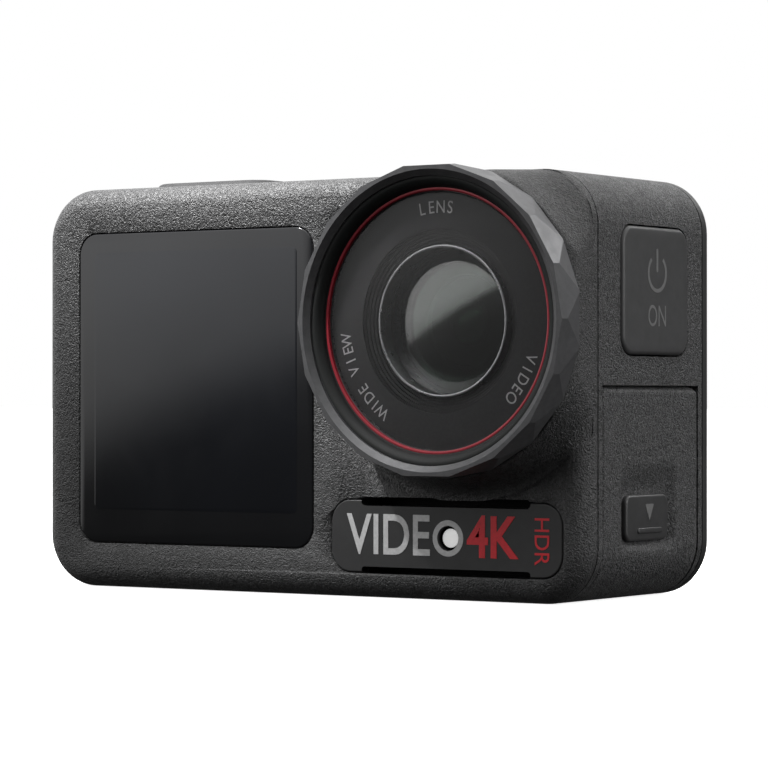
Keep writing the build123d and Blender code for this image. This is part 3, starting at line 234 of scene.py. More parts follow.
def letters(name, words, size, place, turn, height=MARK_HEIGHT, squeeze=1.0, weight=0.0, align="CENTER"):
    """Raised lettering as a mesh: typed, given a height, converted and merged."""
    deselect()
    bpy.ops.object.text_add(location=place, rotation=turn)
    text = bpy.context.object
    text.name = name
    text.data.body = words
    text.data.size = size
    text.data.extrude = height
    text.data.offset = weight
    text.data.align_x = align
    text.data.align_y = "CENTER"
    text.data.resolution_u = 6
    text.scale.x = squeeze
    bpy.ops.object.convert(target="MESH")
    bpy.ops.object.transform_apply(location=True, rotation=True, scale=True)
    bpy.ops.object.mode_set(mode="EDIT")
    bpy.ops.mesh.select_all(action="SELECT")
    bpy.ops.mesh.remove_doubles(threshold=1e-6)
    bpy.ops.object.mode_set(mode="OBJECT")
    return bpy.context.object


def join(pieces, name):
    """Joins pieces into one mesh."""
    deselect()
    for piece in pieces:
        piece.select_set(True)
    bpy.context.view_layer.objects.active = pieces[0]
    if len(pieces) > 1:
        bpy.ops.object.join()
    pieces[0].name = name
    pieces[0].data.name = name
    return pieces[0]


# ---------------------------------------------------------------- finishes
def shade(colour, level):
    """Colour made darker or lighter by a factor."""
    return [part * level for part in colour]


def grey(level):
    """Neutral colour."""
    return (level, level, level)


class Finish:
    """A principled material whose colour, roughness and bump can be layered with noise."""

    def __init__(self, name, colour, roughness, **sockets):
        self.material = bpy.data.materials.new(name)
        self.material.use_nodes = True
        self.nodes = self.material.node_tree.nodes
        self.links = self.material.node_tree.links
        self.shader = self.nodes["Principled BSDF"]
        self.shader.inputs["Base Color"].default_value = (*colour, 1)
        self.shader.inputs["Roughness"].default_value = roughness
        for socket, value in sockets.items():
            self.shader.inputs[socket.replace("_", " ")].default_value = value
        self.colour = colour
        self.place = self.nodes.new("ShaderNodeTexCoord").outputs["Object"]
        self.normal = None

    def noise(self, scale, detail=3.0, stretch=(1, 1, 1), distortion=0.0, rough=0.55):
        """Noise on object coordinates, stretched along an axis when asked."""
        mapping = self.nodes.new("ShaderNodeMapping")
        mapping.inputs["Scale"].default_value = stretch
        self.links.new(self.place, mapping.inputs["Vector"])
        texture = self.nodes.new("ShaderNodeTexNoise")
        values = {"Scale": scale, "Detail": detail, "Roughness": rough, "Distortion": distortion}
        for socket, value in values.items():
            texture.inputs[socket].default_value = value
        self.links.new(mapping.outputs["Vector"], texture.inputs["Vector"])
        return texture.outputs["Fac"]

    def cells(self, scale):
        """Small pebbles on object coordinates."""
        texture = self.nodes.new("ShaderNodeTexVoronoi")
        texture.inputs["Scale"].default_value = scale
        self.links.new(self.place, texture.inputs["Vector"])
        return texture.outputs["Distance"]

    def bump(self, height, distance, strength=1.0):
        """Adds one layer of relief on top of the layers before it."""
        bump = self.nodes.new("ShaderNodeBump")
        bump.inputs["Strength"].default_value = strength
        bump.inputs["Distance"].default_value = distance
        self.links.new(height, bump.inputs["Height"])
        if self.normal:
            self.links.new(self.normal, bump.inputs["Normal"])
        self.normal = bump.outputs["Normal"]
        self.links.new(self.normal, self.shader.inputs["Normal"])
        return self

    def tint(self, factor, darker, lighter, low=0.3, high=0.7):
        """Varies the colour between two multiples of the base colour."""
        ramp = self.nodes.new("ShaderNodeValToRGB")
        for stop, position, level in zip(ramp.color_ramp.elements, (low, high), (darker, lighter)):
            stop.position = position
            stop.color = (*shade(self.colour, level), 1)
        self.links.new(factor, ramp.inputs["Fac"])
        self.links.new(ramp.outputs["Color"], self.shader.inputs["Base Color"])
        return self

    def wear(self, factor, low, high):
        """Varies the roughness between two values."""
        span = self.nodes.new("ShaderNodeMapRange")
        for socket, value in (("From Min", 0.3), ("From Max", 0.7), ("To Min", low), ("To Max", high)):
            span.inputs[socket].default_value = value
        self.links.new(factor, span.inputs["Value"])
        self.links.new(span.outputs["Result"], self.shader.inputs["Roughness"])
        return self


def grained_plastic(name, colour, grain, depth, roughness, darker, lighter):
    """Charcoal moulded plastic with a leathery grain of short wrinkles, tinted lighter on the wrinkles:
    partly their own tone, partly a painted sheen for their highlights.
    """
    finish = Finish(name, colour, roughness, Specular_IOR_Level=0.5)
    wrinkles = finish.noise(grain, detail=1.5, distortion=1.6, rough=0.45)
    # Painted sheen: the colour follows the wrinkles' bump noise from darker to lighter, partly the grain's
    # own tone and partly painted highlights on the wrinkles.
    finish.tint(wrinkles, darker, lighter, 0.38, 0.62)
    finish.bump(wrinkles, depth, 1.0)
    finish.bump(finish.noise(grain * 2.6, detail=2), depth * 0.25, 0.8)
    return finish.wear(finish.noise(grain * 0.15), roughness - 0.06, roughness + 0.08).material


def smooth_plastic(name, colour, roughness, depth=0.004 * MM, gloss=0.45):
    """Finely etched plastic."""
    finish = Finish(name, colour, roughness, Specular_IOR_Level=gloss)
    finish.tint(finish.noise(900, detail=4), 0.9, 1.1)
    finish.bump(finish.noise(9000, detail=2), depth, 0.6)
    return finish.wear(finish.noise(400), roughness - 0.04, roughness + 0.05).material


def metal(name, colour, roughness, stretch=(1, 1, 1), depth=0.003 * MM, metallic=1.0):
    """Machined or anodised metal with a fine grain."""
    finish = Finish(name, colour, roughness, Metallic=metallic)
    finish.tint(finish.noise(1500, detail=4, stretch=stretch), 0.88, 1.12)
    finish.bump(finish.noise(7000, detail=3, stretch=stretch), depth, 0.5)
    return finish.wear(finish.noise(500, stretch=stretch), roughness - 0.05, roughness + 0.06).material


def rubber(name, colour, roughness=0.75):
    """Soft seal rubber with a dusty bloom."""
    finish = Finish(name, colour, roughness, Specular_IOR_Level=0.3)
    finish.tint(finish.noise(700, detail=5), 0.7, 1.4)
    return finish.bump(finish.noise(4000), 0.01 * MM, 0.7).material


def glass(name, colour, roughness=0.0, ior=1.5, transmission=1.0, **sockets):
    """Polished clear or coated glass."""
    finish = Finish(name, colour, roughness, IOR=ior, Transmission_Weight=transmission, **sockets)
    finish.tint(finish.noise(120, detail=2), 0.96, 1.0)
    return finish.material


def screen(name, colour):
    """Black backed cover glass: deep black with a polished coat and faint smears."""
    finish = Finish(name, colour, 0.12, Specular_IOR_Level=0.4, Coat_Weight=0.12, Coat_Roughness=0.03)
    finish.tint(finish.noise(40, detail=2), 0.8, 1.2)
    return finish.wear(finish.noise(90, detail=4, distortion=1.5), 0.08, 0.16).material


def board(name, colour):
    """Circuit board: solder mask over tracks."""
    finish = Finish(name, colour, 0.35, Coat_Weight=0.3)
    finish.tint(finish.noise(900, detail=1, stretch=(0.1, 1, 1)), 0.5, 1.6, 0.45, 0.55)
    return finish.bump(finish.cells(900), 0.02 * MM, 0.5).material


def printed(name, colour, roughness=0.5, **sockets):
    """Flat ink or paint with slight unevenness."""
    finish = Finish(name, colour, roughness, **sockets)
    finish.tint(finish.noise(3000, detail=4), 0.88, 1.08)
    return finish.bump(finish.noise(6000), 0.002 * MM, 0.4).material


LOOK = {}


def make_finishes(settings):
    """All the finishes by name."""
    body = tuple(settings.body_colour)
    grain = settings.grain
    LOOK.update(
        # moulded plastics
        # The shells' grain tints are partly painted sheen; the housing's wide range, 0.1 to 2.6, paints its
        # speckled highlights.
        shell=grained_plastic("grained_charcoal_painted_sheen", body, grain, 0.22 * MM, 0.5, 0.5, 1.7),
        housing=grained_plastic("speckled_charcoal_painted_sheen", shade(body, 1.1), grain * 1.15, 0.3 * MM, 0.52,
                                0.1, 2.6),
        rear=smooth_plastic("etched_charcoal", shade(body, 0.7), 0.5),
        plate=smooth_plastic("name_plate_black", shade(body, 0.85), 0.42),
        button=smooth_plastic("button_grey", shade(body, 1.5), 0.5),
        key=smooth_plastic("key_grey", body, 0.7, gloss=0.12),
        latch=smooth_plastic("latch_grey", shade(body, 1.25), 0.38),
        chip=smooth_plastic("chip_package", (0.014, 0.014, 0.015), 0.45),
        battery=smooth_plastic("battery_case_grey", (0.045, 0.045, 0.048), 0.5),
        # metals
        ring=metal("anodised_graphite", tuple(settings.ring_colour), 0.42, metallic=0.45),
        accent=metal("anodised_red", tuple(settings.accent_colour), 0.35, metallic=0.25),
        silver=metal("turned_silver", (0.34, 0.34, 0.35), 0.3),
        steel=metal("pressed_steel", (0.42, 0.42, 0.43), 0.32),
        gold=metal("gold_contact", (0.75, 0.5, 0.18), 0.28),
        alloy=metal("heat_plate_alloy", (0.55, 0.55, 0.56), 0.4, stretch=(0.1, 1, 1)),
        foil=metal("cell_foil", (0.5, 0.5, 0.52), 0.3),
        # glass
        screen=screen("backed_screen_glass", (0.006, 0.0062, 0.007)),
        panel=screen("display_panel", (0.0045, 0.005, 0.0065)),
        clear=glass("cover_glass_clear", grey(1.0), ior=1.45),
        dome=glass("front_lens_glass", (0.27, 0.36, 0.3), ior=1.03,
                   Coat_Weight=1.0, Coat_Roughness=0.04, Coat_IOR=1.9),
        inner=glass("coated_inner_lens", (0.008, 0.035, 0.012), 0.08, transmission=0.0, Coat_Weight=1.0),
        # paint and ink
        funnel=printed("funnel_black", (0.007, 0.008, 0.0078), 0.6, Specular_IOR_Level=0.3),
        mark=printed("engraved_grey", grey(0.13), 0.4),
        mask=printed("mask_print", (0.04, 0.04, 0.041), 0.5, Specular_IOR_Level=0.3),
        black=printed("barrel_black", grey(0.006), 0.6, Specular_IOR_Level=0.15),
        # Painted shade: a black far darker than any real part, used where the seams, the inside of the lens
        # and the sensor hole lie in shade; those parts' own black is part of it.
        void=printed("painted_shade_black", grey(0.0015), 0.9, Specular_IOR_Level=0.05),
        ink=printed("grey_ink", tuple(settings.ink_colour), 0.4),
        red_ink=printed("red_ink", (0.62, 0.012, 0.022), 0.45),
        # Painted glow: the emission makes the light sensor's diffuser, and the status light that shares this
        # finish, shine as if lit, against the shade of the sensor hole.
        white=printed("white_diffuser_painted_glow", (0.85, 0.85, 0.83), 0.4,
                      Emission_Color=(1, 1, 1, 1), Emission_Strength=0.35),
        baffle=printed("baffle_grey", (0.03, 0.03, 0.0305), 0.5, Specular_IOR_Level=0.25),
        # rubber and boards
        seal=rubber("seal_rubber", grey(0.012)),
        pad=rubber("pad_rubber", (0.25, 0.25, 0.27)),
        board=board("circuit_board", (0.01, 0.05, 0.025)),
    )


KEPT = {
    "housing": ("mid_housing", "battery_cap"),
    "rear": ("rear_frame",),
    "plate": ("name_plate",),
    "ring": ("lens_cover_ring",),
    "mask": ("glass_mask",),
    "panel": ("front_display", "rear_display"),
    "black": ("lens_barrel", "speaker_mesh", "aperture_plate"),
    "inner": ("middle_lens", "rear_lens", "infrared_filter"),
    "seal": ("front_gasket", "rear_gasket", "lens_seal", "battery_seal", "port_seal"),
    "steel": ("lens_screws", "chassis_screws", "card_socket", "record_switch", "power_switch",
              "button_bracket", "hinge_pin", "usb_port", "base_plate", "mount_magnets", "microphones"),
    "gold": ("battery_contacts",),
    "alloy": ("heat_plate",),
    "foil": ("battery_cell",),
    "board": ("main_board", "sensor_board"),
    "chip": ("processor", "memory_chips", "image_sensor", "light_sensor", "speaker", "microsd_card",
             "battery_sleeve"),
    "pad": ("thermal_pad",),
    "battery": ("battery_case",),
    "latch": ("battery_latch_upper", "battery_latch_lower"),
    "white": ("status_light",),
}


# ---------------------------------------------------------------- sizes and colours a user would change
class CameraLooks(bpy.types.PropertyGroup):
    """Sizes and colours of the looks."""

    body_colour: FloatVectorProperty(
        name="Body colour", description="Charcoal of the moulded shells", subtype="COLOR",
        default=(0.026, 0.026, 0.0265))
    ring_colour: FloatVectorProperty(
        name="Ring colour", description="Anodised lens cover ring", subtype="COLOR",
        default=(0.085, 0.085, 0.088))
    accent_colour: FloatVectorProperty(
        name="Accent colour", description="Thin ring round the lens glass", subtype="COLOR",
        default=(0.28, 0.016, 0.028))
    ink_colour: FloatVectorProperty(
        name="Ink colour", description="Printed letters", subtype="COLOR", default=(0.5, 0.5, 0.5))
    grain: FloatProperty(name="Grain", description="Grain cells per metre", default=3000.0)
    plate_words: StringProperty(
        name="Plate words", description="Grey letters on the name plate", default="VIDE")
    letter_height: FloatProperty(
        name="Letter height", description="Height of the plate letters", default=4.3 * MM, unit="LENGTH")
    focal_length: FloatProperty(
        name="Focal length", description="Focal length of the view in millimetres", default=151.87)


# ---------------------------------------------------------------- pieces
class CAMERA_OT_frame_finish(bpy.types.Operator):
    """Gives every kept piece of the frame its finish"""

    bl_idname = "camera_looks.frame_finish"
    bl_label = "Frame finishes"

    def execute(self, context):
        make_finishes(context.scene.camera_looks)
        for look, names in KEPT.items():
            for name in names:
                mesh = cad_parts[name].data
                mesh.materials.clear()
                mesh.materials.append(LOOK[look])
        return {"FINISHED"}


def smooth_step(value):
    """Rises softly from 0 to 1 as the value does."""
    value = min(max(value, 0.0), 1.0)
    return value * value * (3 - 2 * value)


class CAMERA_OT_front_shell(bpy.types.Operator):
    """Front shell whose rounded edge runs over the flared foot of the lens boss"""

    bl_idname = "camera_looks.front_shell"
    bl_label = "Front shell"

    edge = 2.3 * MM              # rounding of the front edge of the body
    boss_height = 3.0 * MM
    bore = 13.0 * MM             # radii of the hole, of the start and of the end of the flare
    crest = 15.8 * MM
    foot = 18.3 * MM
    back_y = -11.5 * MM          # behind the front wall of the shell
    segments = 240
    rings = 64
    crowding = 1.5               # rings lie closer together towards the foot
    hollow = 2.2                 # how fast the flare falls
    plate_gap = 0.12 * MM
    beyond = 60 * MM             # farther from the lens axis than any point of the outline

    def execute(self, context):
        shell = self.copy_shell()
        ahead = 2 * self.back_y
        outline = [(0, ahead), (self.foot, ahead), (self.foot, self.back_y), (0, self.back_y)]
        cutter = lathe("cutter", outline, self.segments, closed=False)
        active(shell)
        apply_modifier(shell, "BOOLEAN", operation="DIFFERENCE", solver="EXACT", object=cutter)
        bpy.data.objects.remove(cutter, do_unlink=True)
        boss = self.boss()
        bpy.ops.object.mode_set(mode="OBJECT")
        piece = join([shell, boss], "front_shell_skin")
        close(piece, BODY, LOOK["shell"], "shell_plastic", "front_shell", smooth=40)
        steady_normals(piece)
        return {"FINISHED"}

    def copy_shell(self):
        """Merged copy of the shell."""
        deselect()
        shell = bpy.data.objects.new("shell_copy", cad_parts["front_shell"].data.copy())
        bpy.context.collection.objects.link(shell)
        active(shell)
        bpy.ops.object.mode_set(mode="EDIT")
        bpy.ops.mesh.select_all(action="SELECT")
        bpy.ops.mesh.remove_doubles(threshold=1e-6)
        bpy.ops.object.mode_set(mode="OBJECT")
        return shell

    def inside(self, x, z):
        """Distance from a point to the rounded outline of the body, positive inside it."""
        across = abs(x) - (RIGHT_X - BODY_CORNER)
        up = abs(z - TOP_Z / 2) - (TOP_Z / 2 - BODY_CORNER)
        return BODY_CORNER - math.hypot(max(across, 0), max(up, 0)) - min(max(across, up), 0)

    def reach(self, angle):
        """Radius from the lens axis at which a ray leaves the outline or meets the name plate."""
        near, far = self.bore, self.beyond
        halvings = 30
        for _ in range(halvings):
            middle = (near + far) / 2
            if self.inside(LENS_X + middle * math.cos(angle), LENS_Z + middle * math.sin(angle)) > 0:
                near = middle
            else:
                far = middle
        below = LENS_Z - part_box("name_plate")[1].z - self.plate_gap
        return min(near, below / -math.sin(angle)) if angle < 0 else near

    def height(self, radius, inside):
        """Height of the surface above the front plane."""
        drop = 0.0
        if inside < self.edge:
            drop = self.edge - math.sqrt(max(self.edge**2 - (self.edge - inside) ** 2, 0))
        share = min(max((radius - self.crest) / (self.foot - self.crest), 0), 1)
        return self.boss_height * (1 - share) ** self.hollow - drop

    def boss(self):
        """Boss with its flare, drawn flat as rings and then lifted to its height."""
        front = FRONT_Y
        rings = self.rings
        width = self.foot - self.bore
        profile = [(self.bore, self.back_y)]
        profile += [(self.bore + width * ring / rings, front) for ring in range(rings + 1)]
        profile += [(self.foot, self.back_y)]
        piece = lathe("boss", profile, self.segments)
        mesh = bmesh.from_edit_mesh(piece.data)
        reaches = {}
        for vertex in mesh.verts:
            x, z = vertex.co.x - LENS_X, vertex.co.z - LENS_Z
            angle = math.atan2(z, x)
            key = round(angle * self.segments / math.tau)
            if key not in reaches:
                reaches[key] = self.reach(angle)
            ring = round((math.hypot(x, z) - self.bore) / width * rings)
            share = 1 - (1 - ring / rings) ** self.crowding
            radius = self.bore + (min(self.foot, reaches[key]) - self.bore) * share
            vertex.co.x = LENS_X + radius * math.cos(angle)
            vertex.co.z = LENS_Z + radius * math.sin(angle)
            if abs(vertex.co.y - front) < 1e-6:
                vertex.co.y = front - self.height(radius, self.inside(vertex.co.x, vertex.co.z))
        bmesh.update_edit_mesh(piece.data)
        bpy.ops.mesh.select_all(action="SELECT")
        bpy.ops.mesh.remove_doubles(threshold=1e-6)
        face_outward()
        return piece


class CAMERA_OT_seams(bpy.types.Operator):
    """Near-black sheets in the two seams round the body: they stand for the seals and paint the seams' shade
    """

    bl_idname = "camera_looks.seams"
    bl_label = "Seams"

    sunk = 0.07 * MM             # below the outer face
    inset = 0.02 * MM            # into the mid housing
    width = 0.12 * MM
    thickness = 0.12 * MM

    def execute(self, context):
        front = HOUSING_LOW.y + self.inset
        rear = HOUSING_HIGH.y - self.inset - self.width
        for name, near in (("front_seam_seal_and_shade", front), ("rear_seam_seal_and_shade", rear)):
            centre = (0, near + self.width / 2, TOP_Z / 2)
            size = (2 * (RIGHT_X - self.sunk), self.width, TOP_Z - 2 * self.sunk)
            piece = start(name, bpy.ops.mesh.primitive_cube_add, size=1, location=centre, scale=size)
            long_edges(piece, 1)
            bpy.ops.mesh.bevel(offset=BODY_CORNER - self.sunk, segments=24, affect="EDGES")
            choose(piece, "FACE", lambda f: abs(f.normal.y) > 0.99)
            bpy.ops.mesh.delete(type="FACE")
            bpy.ops.object.mode_set(mode="OBJECT")
            apply_modifier(piece, "SOLIDIFY", thickness=self.thickness, offset=-1)
            close(piece, BODY, LOOK["void"], "seal_rubber")
        return {"FINISHED"}


class CAMERA_OT_port_cover(bpy.types.Operator):
    """Port cover that follows the side and the lower corner, with a soft finger scoop"""

    bl_idname = "camera_looks.port_cover"
    bl_label = "Port cover"

    wall = 1.0 * MM
    knuckle = 1.05 * MM          # from the hinge axis to the outer face and to the top
    turning_radius = 1.15 * MM   # of the round top edge
    top_turn = math.radians(80)  # how far the round top edge runs over
    edge_steps, side_steps, corner_steps = 9, 66, 16
    across_steps = 74
    top_corner = 1.0 * MM        # rounding of the two upper corners
    soft_edge = 0.3 * MM         # width and drop of the softened side edges
    soft_drop = 0.1 * MM
    side_gap = 0.06 * MM
    scoop_depth = 0.7 * MM
    scoop_fade = 1.3 * MM        # width of the scoop's soft ends, and length of its ramp above the latch
    ramp_length = 3.4 * MM

    def execute(self, context):
        self.low, self.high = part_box("port_cover")
        latch_low, latch_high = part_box("port_latch")
        self.scoop_y = (latch_low.y - 1.5 * MM, latch_high.y + 1.5 * MM)
        self.scoop_z = (latch_low.z - 1.0 * MM, latch_high.z + 3.6 * MM)
        route = self.route()
        across = self.across()
        piece = start("port_cover_skin", bpy.ops.mesh.primitive_grid_add, size=1,
                      x_subdivisions=len(across) - 1, y_subdivisions=len(route) - 1)
        mesh = bmesh.from_edit_mesh(piece.data)
        for vertex in mesh.verts:
            column = round((vertex.co.x + 0.5) * (len(across) - 1))
            row = round((vertex.co.y + 0.5) * (len(route) - 1))
            vertex.co = self.place(across[column], *route[row])
        bmesh.update_edit_mesh(piece.data)
        face_outward()
        bpy.ops.object.mode_set(mode="OBJECT")
        outward = piece.data.polygons[len(piece.data.polygons) // 2].normal.x > 0
        apply_modifier(piece, "SOLIDIFY", thickness=self.wall, offset=-1 if outward else 1)
        bpy.ops.object.mode_set(mode="EDIT")
        face_outward()
        close(piece, "port_door", LOOK["housing"], "frame_plastic", "port_cover", smooth=50)
        return {"FINISHED"}

    def across(self):
        """Places over the depth of the cover, closer together at both ends."""
        length = self.high.y - self.low.y
        ends = (0, 0.05 * MM, 0.12 * MM, 0.22 * MM, 0.36 * MM)
        inner = length - 2 * ends[-1]
        middle = [ends[-1] + inner * step / self.across_steps for step in range(1, self.across_steps)]
        return [*ends, *middle, *[length - end for end in reversed(ends)]]

    def route(self):
        """Outer profile as (x, z, outward x, outward z), from the hinge down and round the corner."""
        pivot_x = self.high.x - self.knuckle
        pivot_z = self.high.z - self.knuckle
        points = []
        flat_turn = math.acos(self.knuckle / self.turning_radius)
        for step in range(self.edge_steps):
            turn = self.top_turn + (flat_turn - self.top_turn) * step / (self.edge_steps - 1)
            reach = self.knuckle + (self.turning_radius - self.knuckle) * math.cos(turn * 0.5)
            x = pivot_x + min(reach * math.cos(turn), self.knuckle)
            points.append((x, pivot_z + reach * math.sin(turn), math.cos(turn), math.sin(turn)))
        top = points[-1][1]
        for step in range(1, self.side_steps + 1):
            points.append((self.high.x, top + (BODY_CORNER - top) * step / self.side_steps, 1, 0))
        for step in range(1, self.corner_steps + 1):
            turn = -math.pi / 2 * step / self.corner_steps
            x = self.high.x - BODY_CORNER * (1 - math.cos(turn))
            points.append((x, BODY_CORNER * (1 + math.sin(turn)), math.cos(turn), math.sin(turn)))
        points.append((self.low.x, 0, 0, -1))
        return points

    def place(self, along, x, z, out_x, out_z):
        """Point of the outer surface, drawn in by the soft edges and by the scoop."""
        length = self.high.y - self.low.y
        rise = max(z - (self.high.z - self.top_corner), 0)
        trim = self.top_corner - math.sqrt(max(self.top_corner**2 - rise**2, 0))
        trim += self.side_gap
        y = self.low.y + trim + along * (length - 2 * trim) / length
        rim = max(1 - min(along, length - along) / self.soft_edge, 0)
        depth = self.soft_drop * rim**2
        depth += self.scoop_depth * (
            smooth_step((y - self.scoop_y[0]) / self.scoop_fade)
            * smooth_step((self.scoop_y[1] - y) / self.scoop_fade)
            * smooth_step((z - self.scoop_z[0]) / (0.8 * self.scoop_fade))
            * smooth_step((self.scoop_z[1] - z) / self.ramp_length)
        )
        return Vector((x - depth * out_x, y, z - depth * out_z))


class CAMERA_OT_lens(bpy.types.Operator):
    """Front lens, its silver ring, the stepped baffle and the elements behind it"""

    bl_idname = "camera_looks.lens"
    bl_label = "Lens"

    def execute(self, context):
        self.baffle()
        self.silver_ring()
        self.front_lens()
        self.inner_elements()
        return {"FINISHED"}

    def baffle(self):
        """Six fine steps that fall towards the lens, each with a softened lip."""
        low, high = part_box("lens_baffle")
        outer = half_width("lens_baffle")
        inner = half_width("lens_trim_ring")
        steps = 5
        tread = (outer - inner) / (steps + 1)
        drop = 0.2 * MM
        lip = 0.03 * MM
        profile = [(outer, high.y), (outer, low.y + lip), (outer - lip, low.y)]
        for step in range(steps):
            radius = outer - (step + 1) * tread
            depth = low.y + step * drop
            profile += [(radius + lip, depth), (radius, depth + lip), (radius, depth + drop)]
        profile += [(inner, low.y + steps * drop), (inner, high.y)]
        close(lathe("stepped_baffle", profile), BODY, LOOK["baffle"], "lens_black", "lens_baffle", smooth=20)

    def silver_ring(self):
        """Thin turned ring round the front lens."""
        low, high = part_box("lens_trim_ring")
        profile = crowned(half_width("lens_trim_ring"), half_width("front_lens"), low.y, high.y, 0.08 * MM)
        close(lathe("silver_ring", profile), BODY, LOOK["silver"], "trim_silver", "lens_trim_ring")

    def front_lens(self):
        """Bulging front element of even thickness."""
        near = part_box("front_lens")[0].y
        radius = half_width("front_lens")
        curve = 15.0 * MM
        wall = 0.7 * MM
        rim = 0.15 * MM
        rings = 14
        profile = dome(radius, near, curve, rings)
        profile += reversed(dome(radius - rim, near + wall, curve - wall, rings))
        close(lathe("front_lens_element", profile, closed=False), BODY, LOOK["dome"], "lens_glass",
              "front_lens", smooth=30)

    def inner_elements(self):
        """Black funnel down to the small coated element in the middle."""
        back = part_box("front_lens")[1].y
        wall_points = (       # radius and depth behind the front lens, in millimetres
            (7.0, -0.4), (7.0, 0.4), (4.9, 1.0), (4.8, 0.7), (4.5, 0.7), (4.4, 1.3), (2.5, 1.5),
            (2.4, 1.2), (2.2, 1.2), (2.1, 1.55), (2.1, 1.59), (7.1, 1.59), (7.1, -0.4),
        )
        funnel = [(radius * MM, back + depth * MM) for radius, depth in wall_points]
        # The funnel's near-black is partly the barrel's own black and partly painted shade inside the lens.
        close(lathe("inner_funnel", funnel, 96), BODY, LOOK["void"], "lens_black", smooth=25)
        radius = 2.05 * MM
        top, bottom = back + 0.9 * MM, back + 1.58 * MM
        profile = dome(radius, top, 3.0 * MM, 8) + [(radius, bottom), (0, bottom)]
        close(lathe("inner_element", profile, 64, closed=False), BODY, LOOK["inner"], "lens_glass", smooth=30)


class CAMERA_OT_lens_cover(bpy.types.Operator):
    """Cover glass, red ring and the words printed on the glass mask"""

    bl_idname = "camera_looks.lens_cover"
    bl_label = "Lens cover"

    def execute(self, context):
        self.glass()
        self.accent()
        self.funnel()
        self.print_words()
        return {"FINISHED"}

    def glass(self):
        edge = 0.12 * MM
        near, far = GLASS_LOW.y, GLASS_HIGH.y
        profile = [
            (0, near), (GLASS_RADIUS * 0.5, near), (GLASS_RADIUS - edge, near), (GLASS_RADIUS, near + edge),
            (GLASS_RADIUS, far), (GLASS_RADIUS * 0.5, far), (0, far),
        ]
        close(lathe("cover_glass_disc", profile, closed=False), "lens_cover", LOOK["clear"], "clear_glass",
              "cover_glass")

    def funnel(self):
        """Black inner wall between the rim and the red ring, with a soft step under the rim."""
        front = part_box("lens_cover_ring")[0].y
        glass_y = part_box("accent_ring")[0].y
        wide = 14.5 * MM
        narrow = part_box("accent_ring")[1].x - LENS_X
        start_y = front + 0.7 * MM
        steps = 8
        profile = [(wide, start_y + 0.2 * MM), (wide, start_y + 0.05 * MM), (wide - 0.05 * MM, start_y)]
        fullness = 1.2
        for step in range(1, steps + 1):
            turn = step / steps * math.pi / 2
            radius = wide - 0.1 * MM - (wide - narrow - 0.12 * MM) * math.sin(turn) ** fullness
            profile.append((radius, glass_y - 0.03 * MM - (glass_y - start_y) * math.cos(turn) ** fullness))
        profile += [(narrow - 0.08 * MM, glass_y + 0.02 * MM), (narrow - 0.08 * MM, glass_y + 0.2 * MM)]
        close(lathe("cover_funnel", profile), "lens_cover", LOOK["funnel"], "lens_black", smooth=40)

    def accent(self):
        """Red ring with a rounded crown."""
        low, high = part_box("accent_ring")
        outer = half_width("accent_ring")
        width = 0.38 * MM
        profile = crowned(outer, outer - width, low.y, high.y, 0.12 * MM)
        close(lathe("red_ring", profile), "lens_cover", LOOK["accent"], "accent_red", "accent_ring")

    def print_words(self):
        """Generic words round the mask, read clockwise with their tops outward."""
        size = 1.794 * MM
        radius = 11.4 * MM
        face = GLASS_HIGH.y - 0.02 * MM
        for name, words, middle, pitch in (
            ("mask_words_top", "LENS", 92, 1.12 * MM),
            ("mask_words_left", "WIDE VIEW", 211, 1.08 * MM),
            ("mask_words_right", "VIDEO", -31, 1.12 * MM),
        ):
            marks = []
            for index, letter in enumerate(words):
                if letter == " ":
                    continue
                step = (len(words) - 1) / 2 - index
                angle = math.radians(middle) + step * pitch / radius
                place = (LENS_X + radius * math.cos(angle), face, LENS_Z + radius * math.sin(angle))
                turn = (math.pi / 2, math.pi / 2 - angle, 0)
                marks.append(letters("mark", letter, size, place, turn, 0.008 * MM, squeeze=0.85))
            close(join(marks, name), "lens_cover", LOOK["ink"], "mask_print")


class CAMERA_OT_front_screen(bpy.types.Operator):
    """Front screen glass with a polished bevelled rim"""

    bl_idname = "camera_looks.front_screen"
    bl_label = "Front screen"

    corner = 2.3 * MM
    edge = 0.18 * MM
    area_corner = 0.6 * MM       # of the display seen inside the border
    area_edge = 0.008 * MM
    area_depth = 0.1 * MM
    side_border = 2.1 * MM
    lower_border = 3.6 * MM
    upper_border = 2.1 * MM
    proud = 0.01 * MM

    def execute(self, context):
        low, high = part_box("front_screen_glass")
        piece = slab("front_screen", low, high, 1, self.corner, self.edge, -1)
        close(piece, BODY, LOOK["screen"], "screen_glass", "front_screen_glass")
        near = (low.x + self.side_border, low.y - self.proud, low.z + self.lower_border)
        far = (high.x - self.side_border, low.y + self.area_depth, high.z - self.upper_border)
        area = slab("front_display_area", near, far, 1, self.area_corner, self.area_edge, -1)
        close(area, BODY, LOOK["panel"], "display_black")
        return {"FINISHED"}


class CAMERA_OT_rear_screen(bpy.types.Operator):
    """Rear screen glass with a polished rim and the lit area seen inside its border"""

    bl_idname = "camera_looks.rear_screen"
    bl_label = "Rear screen"

    corner = 3.0 * MM
    edge = 0.2 * MM
    area_corner = 0.9 * MM       # of the display seen inside the border
    area_edge = 0.008 * MM
    area_depth = 0.1 * MM
    border = 2.6 * MM
    proud = 0.012 * MM

    def execute(self, context):
        low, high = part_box("rear_screen_glass")
        piece = slab("rear_screen", low, high, 1, self.corner, self.edge, 1)
        close(piece, BODY, LOOK["screen"], "screen_glass", "rear_screen_glass")
        near = (low.x + self.border, high.y - self.area_depth, low.z + self.border)
        far = (high.x - self.border, high.y + self.proud, high.z - self.border)
        area = slab("rear_display_area", near, far, 1, self.area_corner, self.area_edge, 1)
        close(area, BODY, LOOK["panel"], "display_black")
        return {"FINISHED"}


